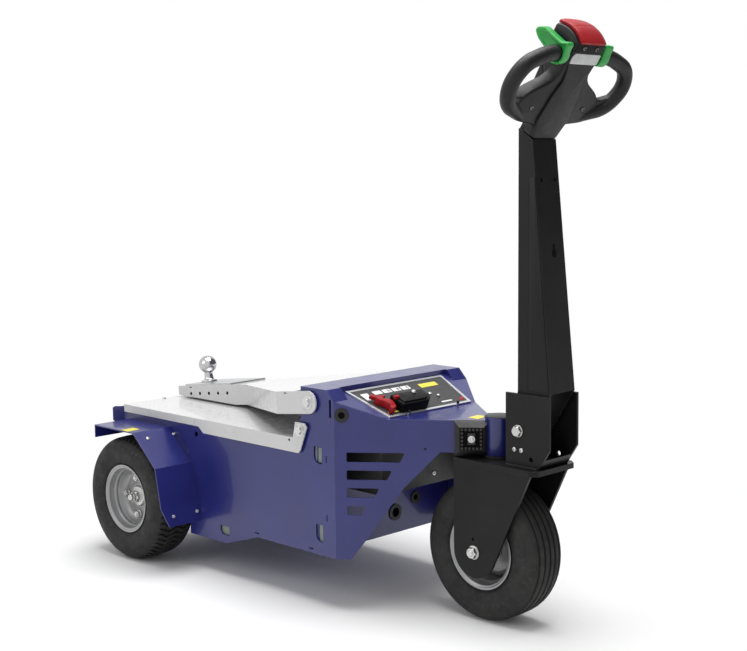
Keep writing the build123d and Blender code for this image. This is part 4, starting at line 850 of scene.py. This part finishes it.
def slope_frame(down=0.0, left=0.0):
    """Frame on the sloping hood face: along down the slope, across to the left, out of the face."""
    lean = math.radians(SLOPE_ANGLE)
    along, out = (math.cos(lean), 0, -math.sin(lean)), (math.sin(lean), 0, math.cos(lean))
    return moved(seat(SLOPE_START, along, out), down, left)


def nose_frame(along=0.0, z=0.0, out=0.0):
    """Frame on the right nose panel's outer face: along forward, across up, out of the face."""
    turn = math.radians(NOSE_ANGLE)
    forward, outward = (math.cos(turn), math.sin(turn), 0), (math.sin(turn), -math.cos(turn), 0)
    return moved(seat((NOSE_START_X, -SIDE_PLATE_Y, z), forward, outward), along, 0, out)


def label(low, high, corner=1.0):
    """Thin plate on the panel between two (down, left) corners."""
    return pad(slope_frame(), rectangle(low, high, corner, 3), PANEL_THICKNESS, PANEL_THICKNESS + 0.5, 0.15)


def slab(outline, corner, low, high, edge, centre=None):
    """Plate over the panel from an outline of (down, left) points."""
    return pad(slope_frame(), rounded(outline, corner, 4, True), low, high, edge, centre=centre)


def power_socket():
    """Socket block with its lid."""
    block = slab([(71, -96), (119, -96), (119, -10), (106, 8), (71, 8)], 2.5, PANEL_THICKNESS, 26, 2.2)
    lid = slab([(76, -91), (114, -91), (114, -14), (103, 3), (76, 3)], 2.5, 20, 30, 1.6)
    piece("power_socket", [block, lid], "chassis", SOCKET_BLACK, ("socket_block",))


def red_plug():
    """Red plug, its curved handle and an ear on the socket's lid."""
    plug = [(58, -134), (66, -118), (72, -118), (78, -101), (92, -101), (112, -112), (118, -126), (108, -130),
            (100, -121), (82, -124), (72, -134)]
    arm = [(47, -140), (57, -134), (66, -116), (60, -98), (53, -100), (54, -114), (41, -134)]
    ear = [(84, -100), (93, -103), (94, -88), (86, -86)]
    grids = [slab(plug, 3, PANEL_THICKNESS, 20, 2.2, (82, -118)), slab(arm, 2.5, 7, 17, 2.2, (58, -117)),
             slab(ear, 2, 24, 33, 2)]
    piece("red_plug_handle", grids, "chassis", RED, ("red_plug",))


def panel_knob():
    """Knob on the socket's lid and two indicator lamps beside it, turned."""
    # down, left, profile, softening, steps in an arc, points round it
    knobs = ((85, -33, [(0, 29), (6, 29), (6, 33), (4, 36), (0, 36.5)], 1.2, 4, 28),
             (63, 58, [(0, 2), (5, 2), (5, 4), (0, 5)], 0.8, 3, 24),
             (80, 70, [(0, 2), (4.5, 2), (4.5, 6), (3, 7.5), (0, 7.5)], 0.8, 3, 24))
    grids = [turned(slope_frame(down, left), rounded(profile, softening, steps), count)
             for down, left, profile, softening, steps, count in knobs]
    piece("panel_knob", grids, "chassis", ZINC)


def panel_labels():
    """Blank white and yellow labels, red marks on the tiles and the red corner."""
    places = (-98, -66, -34, -2)
    tiles = [label((14, left), (29, left + 27), 1.5) for left in places]
    white = [label((17, -139), (47, -116)), *tiles, label((103, 57), (108, 93))]
    piece("white_labels", white, "chassis", WHITE_BLANK)
    yellow = [label((17, 58), (34, 118)), label((106, -129), (110, -46))]
    piece("yellow_labels", yellow, "chassis", YELLOW_BLANK)
    corner = pad(slope_frame(), rounded([(112, 112), (96, 138), (112, 132)], 1, 3, True),
                 PANEL_THICKNESS, PANEL_THICKNESS + 0.6, 0.15)
    marks = [label((17, left + 15), (26, left + 23)) for left in places[1:]]
    piece("red_marks", [corner, *marks], "chassis", RED)


def panel_pins():
    """Two stop pins at the panel's foot with their dark caps."""
    feet = [slope_frame(131, side * 85) for side in SIDES]
    cap = rounded([(0, 9.8), (3.6, 9.8), (3.6, 14), (0, 15)], 0.8, 3)
    piece("panel_pins", [shank(foot, 3.2, 0, 10, 20) for foot in feet], "chassis", ZINC)
    tips = [turned(foot, cap, 20) for foot in feet]
    piece("panel_pin_tips", tips, "chassis", SOCKET_BLACK)


def fender_details():
    """Bolts on the fenders' slope and foot, and the gussets between fender and side plate."""
    slope_out, foot_out = (0.66, 0, 0.751), (0.981, 0, 0.196)
    spots = [facing((119.5, -y, 344), slope_out) for y in (316.6, 234.2)]
    spots += [facing((217.5, -y, 155), foot_out) for y in (314.7, 240)]
    piece("fender_bolts", both_sides(screws(spots, 5, 3)), "chassis", ZINC)
    corner = [(117.5, 345.2), (177.2, 345.2), (177.2, 292.5)]
    gusset = pad(side_frame(0, 0, -SIDE_PLATE_Y), corner, -3.2, -0.1, 0.1)
    piece("arch_gussets", both_sides([gusset]), "chassis", BLUE)


def bumper_details():
    """On each bumper: bolt and washer, dark face painting the shade between the studs, raised middle and the
    rubber studs round it.
    """
    middle = nose_frame(318.25, 422.25, 34)
    bolt = [washer(middle, 8, 4, 2.6), socket_head(moved(middle, c=2.5), 5.4, 3.4)]
    piece("bumper_bolts", both_sides(bolt), "chassis", ZINC)
    # Dark face under the studs: painted shade in the gaps between them
    face = pad(middle, rectangle((-27, -26), (27, 26), 1.5, 3), -0.5, 0.25, 0.1)
    piece("bumper_gap_shades", both_sides([face]), "chassis", PAINTED_SHADE)
    pitch, half = 8.6, 2.7
    studs = [pad(middle, rectangle((-pitch, -1.5 * pitch), (pitch, 1.5 * pitch), 1.5, 3), -0.5, 2.2, 0.7)]
    places = (np.arange(6) - 2.5) * pitch
    spots = [(x, z) for x in places for z in places if abs(x) > 1.6 * pitch or abs(z) > 1.6 * pitch]
    for x, z in spots:
        stud = rectangle((x - half, z - half), (x + half, z + half), 0.5, 2)
        studs.append(pad(middle, stud, -0.5, 1.9, 0.6))
    piece("bumper_studs", both_sides(studs), "chassis", STUD_RUBBER)


def sheen_panels_behind_windows():
    """Grey panels behind the openings of the side plates, each between two (x, z) corners, painting the sheen
    of the box inside.
    """
    openings = (((660, 348), (688, 384)), ((663, 158), (689, 201)), ((301, 108), (339, 134)))
    inside = side_frame(0, 0, 5 - SIDE_PLATE_Y)
    sheen_panels = [pad(inside, rectangle(low, high, 2, 3), -1.5, 0, 0.3) for low, high in openings]
    piece("sheen_panels_behind_windows", both_sides(sheen_panels), "chassis", SHEEN_GREY)


def hinge_bolts():
    """Hinge bolts of boom and cover: shank, washer and hexagon outside, nut inside."""
    grids = []
    for (x, z), face in ((BOOM_PIVOT, BOOM_ARM_HALF), (COVER_PIVOT, COVER_HALF)):
        spot = side_frame(x, z, -face)
        grids += [shank(spot, 8, 25, 3), washer(spot, 15.5, 8, 1.6), hexagon(spot, 21, 1.5, 8.8),
                  hexagon(side_frame(x, z, -215), 21, 0, 11.5)]
    piece("pivot_bolt_sets", both_sides(grids), "chassis", ZINC, ("pivot_bolts",))


def yellow_blanks():
    """Slanted blank yellow labels on the deck and on both fenders."""
    slant = rounded([(-13, -20), (17, -20), (13, 20), (-17, 20)], 1, 3, True)
    deck = pad(level_frame(963, 8, DECK_Z), slant, -0.2, 0.5, 0.15)
    fender = pad(level_frame(58, -327, 361), slant, -0.2, 0.5, 0.15)
    piece("yellow_blanks", [deck, *both_sides([fender])], "chassis", YELLOW_BLANK)


def head_tube():
    """Steering head tube with its collar, and the cap over the stem."""
    middle, low, top = level_frame(STEERING_X, 0, 0), HEAD_TUBE_LOW_Z, HEAD_TUBE_TOP_Z
    bore, wall, collar = 15.1, 33, 35
    profile = [(bore, low), (wall, low), (wall, top), (collar, top), (collar, top + 3.6), (30, top + 3.6),
               (bore, top - 2)]
    tube_ring = ring(middle, rounded(profile, 0.8, 3, True))
    piece("steering_head_tube", [tube_ring], "chassis", BLUE, ("head_tube",))
    cap = rounded([(0, top + 2), (wall, top + 2), (wall + 0.6, top + 5), (0, top + 5)], 0.8, 3)
    piece("head_tube_cap", [turned(middle, cap, 64)], "chassis", BLACK)


def body_trim():
    """Dark discs painting the shade in the nose grommets' middles, and the electronics box's screws."""
    # Dark disc: painted shade in the grommet's middle
    plug = rounded([(0, 0), (8.4, 0), (8.2, 1.2), (0, 1.2)], 0.4, 3)
    grommet = turned(nose_frame(18, 468, -1.5), plug, 32)
    piece("grommet_hole_shades", both_sides([grommet]), "chassis", PAINTED_SHADE)
    spots = [facing((804, y, 300), (1, 0, 0)) for y in (28, -60, 110, -120)]
    piece("electronics_screws", screws(spots, 6, 3), "chassis", ZINC)


# Boom and cover

def boom_lean():
    """Angle by which the boom's middle line falls towards its tail."""
    return math.atan(BOOM_FALL / (BOOM_PIVOT[0] - BOOM_TAIL_X))


def boom_frame(along=0.0, height=0.0):
    """Frame on the boom's middle line, measured from its pivot: along towards it, out square to it."""
    lean = boom_lean()
    forward, out = (math.cos(lean), 0, math.sin(lean)), (-math.sin(lean), 0, math.cos(lean))
    return moved(seat((BOOM_PIVOT[0], 0, BOOM_PIVOT[1]), forward, out), along, 0, height)


def tow_ball():
    """Tow ball: stepped foot, neck and ball r = 25 sin g at height 48 - 25 cos g, flat on top, turned."""
    foot = boom_frame((BOOM_TAIL_X + 57 - BOOM_PIVOT[0]) / math.cos(boom_lean()), 31)
    radius, middle = 25, 48
    g = np.radians(np.linspace(29, 164, 34))
    ball = np.stack([radius * np.sin(g), middle - radius * np.cos(g)], -1)
    corners = [(0, 0), (22, 0), (22, 4.5), (15.5, 6), (12.7, 10), (11.8, 20), (12.1, 26)]
    neck = rounded(corners, (0, 0.6, 1, 1.5, 3, 4, 0), 4)
    whole = turned(foot, [*neck, *ball, (0, 72)], 72)
    piece("polished_tow_ball", [whole], "boom", CHROME, ("tow_ball",))


def lid_details():
    """Small bolts of the cover, and painted shade in its holes, in the reliefs at the boom's bends and in its
    tail bores.
    """
    spots = [level_frame(-85, side * 112.5, COVER_TOP_Z) for side in SIDES]
    piece("cover_bolts", screws(spots, 5.5, 3.5), "cover", ZINC)
    # Dark slits: painted shade in the reliefs at the boom's bends
    slit = rectangle((-4.5, -1.3), (4.5, 1.3), 1, 3)
    bends = ((-23.8, 431.5, BOOM_TAIL_HALF), (572.6, 503.5, BOOM_ARM_HALF))
    reliefs = [pad(side_frame(x, z, side * y), slit, -0.5, 0.2, 0.1) for x, z, y in bends for side in SIDES]
    piece("boom_relief_shades", reliefs, "boom", PAINTED_SHADE)
    # Dark sleeves: painted shade inside the tail bores
    sleeve = [(4.45, -14), (4.45, 0.12), (3.9, 0.12), (3.9, -14)]
    bores = [(39.71 * k - 22, 414.1 + 4.77 * k) for k in range(5)]
    sleeves = [ring(side_frame(x, z, side * BOOM_TAIL_HALF), sleeve, 32) for x, z in bores for side in SIDES]
    piece("bore_shade_sleeves", sleeves, "boom", PAINTED_SHADE)
    # Dark dots: painted shade in the cover's holes
    dots = [pad(side_frame(583, 392, side * COVER_HALF), circle(3.2), -0.5, 0.2, 0.1) for side in SIDES]
    piece("cover_hole_shades", dots, "cover", PAINTED_SHADE)


wheels()
head_shells()
head_trim()
grips()
column_details()
tilt_bolt()
front_axle()
bracket_welds()
power_socket()
red_plug()
panel_knob()
panel_labels()
panel_pins()
fender_details()
bumper_details()
sheen_panels_behind_windows()
hinge_bolts()
yellow_blanks()
head_tube()
body_trim()
tow_ball()
lid_details()
dress_nodes()


# Studio

def mixed_by(nodes, links, factor, first, second):
    """Shader between first and second by a factor."""
    mix = nodes.new("ShaderNodeMixShader")
    links.new(factor, mix.inputs[0])
    links.new(first, mix.inputs[1])
    links.new(second, mix.inputs[2])
    return mix.outputs[0]


def background(nodes, colour):
    """Background shader of a colour at a strength of 1."""
    shader = nodes.new("ShaderNodeBackground")
    shader.inputs["Color"].default_value = (*colour, 1)
    return shader.outputs[0]


def seen_by_camera_or_gloss(nodes, links):
    """1 for camera, glossy and glass rays."""
    rays = nodes.new("ShaderNodeLightPath").outputs
    either = combined(nodes, links, "MAXIMUM", rays["Is Camera Ray"], rays["Is Glossy Ray"])
    return combined(nodes, links, "MAXIMUM", either, rays["Is Transmission Ray"])


def white_world():
    """World: soft light on matt surfaces, white to camera and gloss, a dark curtain ahead on the left."""
    world = bpy.data.worlds.new("studio_world")
    bpy.context.scene.world = world
    world.use_nodes = True
    nodes, links = world.node_tree.nodes, world.node_tree.links
    soft = nodes["Background"]
    soft.inputs["Color"].default_value = (1, 1, 1, 1)
    soft.inputs["Strength"].default_value = SOFT_LIGHT
    way = nodes.new("ShaderNodeTexCoord")
    towards = nodes.new("ShaderNodeVectorMath")
    towards.operation = "DOT_PRODUCT"
    towards.inputs[1].default_value = CURTAIN_WAY
    links.new(way.outputs["Generated"], towards.inputs[0])
    curtain = between(nodes, links, towards.outputs["Value"], 0.35, 0.7, 0, 0.96)
    in_gloss = nodes.new("ShaderNodeLightPath").outputs["Is Glossy Ray"]
    dark_share = combined(nodes, links, "MULTIPLY", curtain, in_gloss)
    white, dark = background(nodes, (1, 1, 1)), background(nodes, (0.1, 0.1, 0.11))
    white_or_dark = mixed_by(nodes, links, dark_share, white, dark)
    shown = mixed_by(nodes, links, seen_by_camera_or_gloss(nodes, links), soft.outputs[0], white_or_dark)
    links.new(shown, nodes["World Output"].inputs["Surface"])


def pale_floor():
    """Floor: matt ground with shadows near the machine, plain white to the camera far from it."""
    corners = [(FLOOR_REACH * x, FLOOR_REACH * y, 0) for x, y in ((-1, -1), (1, -1), (1, 1), (-1, 1))]
    mesh = bpy.data.meshes.new("pale_floor")
    mesh.from_pydata(corners, [], [(0, 1, 2, 3)])
    floor = bpy.data.objects.new("pale_floor", mesh)
    bpy.context.scene.collection.objects.link(floor)
    material, nodes, links, shader = node_material("pale_floor")
    shader.inputs["Base Color"].default_value = (0.9, 0.9, 0.9, 1)
    shader.inputs["Roughness"].default_value = 0.85
    shader.inputs["Specular IOR Level"].default_value = 0.1
    where = nodes.new("ShaderNodeTexCoord")
    distance = nodes.new("ShaderNodeVectorMath")
    distance.operation = "LENGTH"
    links.new(where.outputs["Object"], distance.inputs[0])
    far = between(nodes, links, distance.outputs["Value"], *GLOW_FROM_TO, 0, 1)
    seen = combined(nodes, links, "MULTIPLY", far, seen_by_camera_or_gloss(nodes, links))
    glow = nodes.new("ShaderNodeEmission").outputs[0]
    shown = mixed_by(nodes, links, seen, shader.outputs[0], glow)
    links.new(shown, nodes["Material Output"].inputs["Surface"])
    mesh.materials.append(material)


def lamp(name, at, towards, size, power):
    """Square soft lamp aimed at a point."""
    data = bpy.data.lights.new(name, "AREA")
    data.size = size
    data.energy = power
    made = bpy.data.objects.new(name, data)
    made.location = at
    made.rotation_euler = (Vector(towards) - Vector(at)).to_track_quat("-Z", "Y").to_euler()
    bpy.context.scene.collection.objects.link(made)


def studio():
    """Standard view, white world, pale floor and soft lamps above and to the machine's right."""
    bpy.context.scene.view_settings.view_transform = "Standard"
    white_world()
    pale_floor()
    lamp("top_lamp", (0.2, 0, 3.6), (0, 0, 0.2), 2.6, 122)
    lamp("right_lamp", (-1.2, -3.4, 2.4), (0, 0, 0.4), 2.2, 26)


photo_camera()
studio()
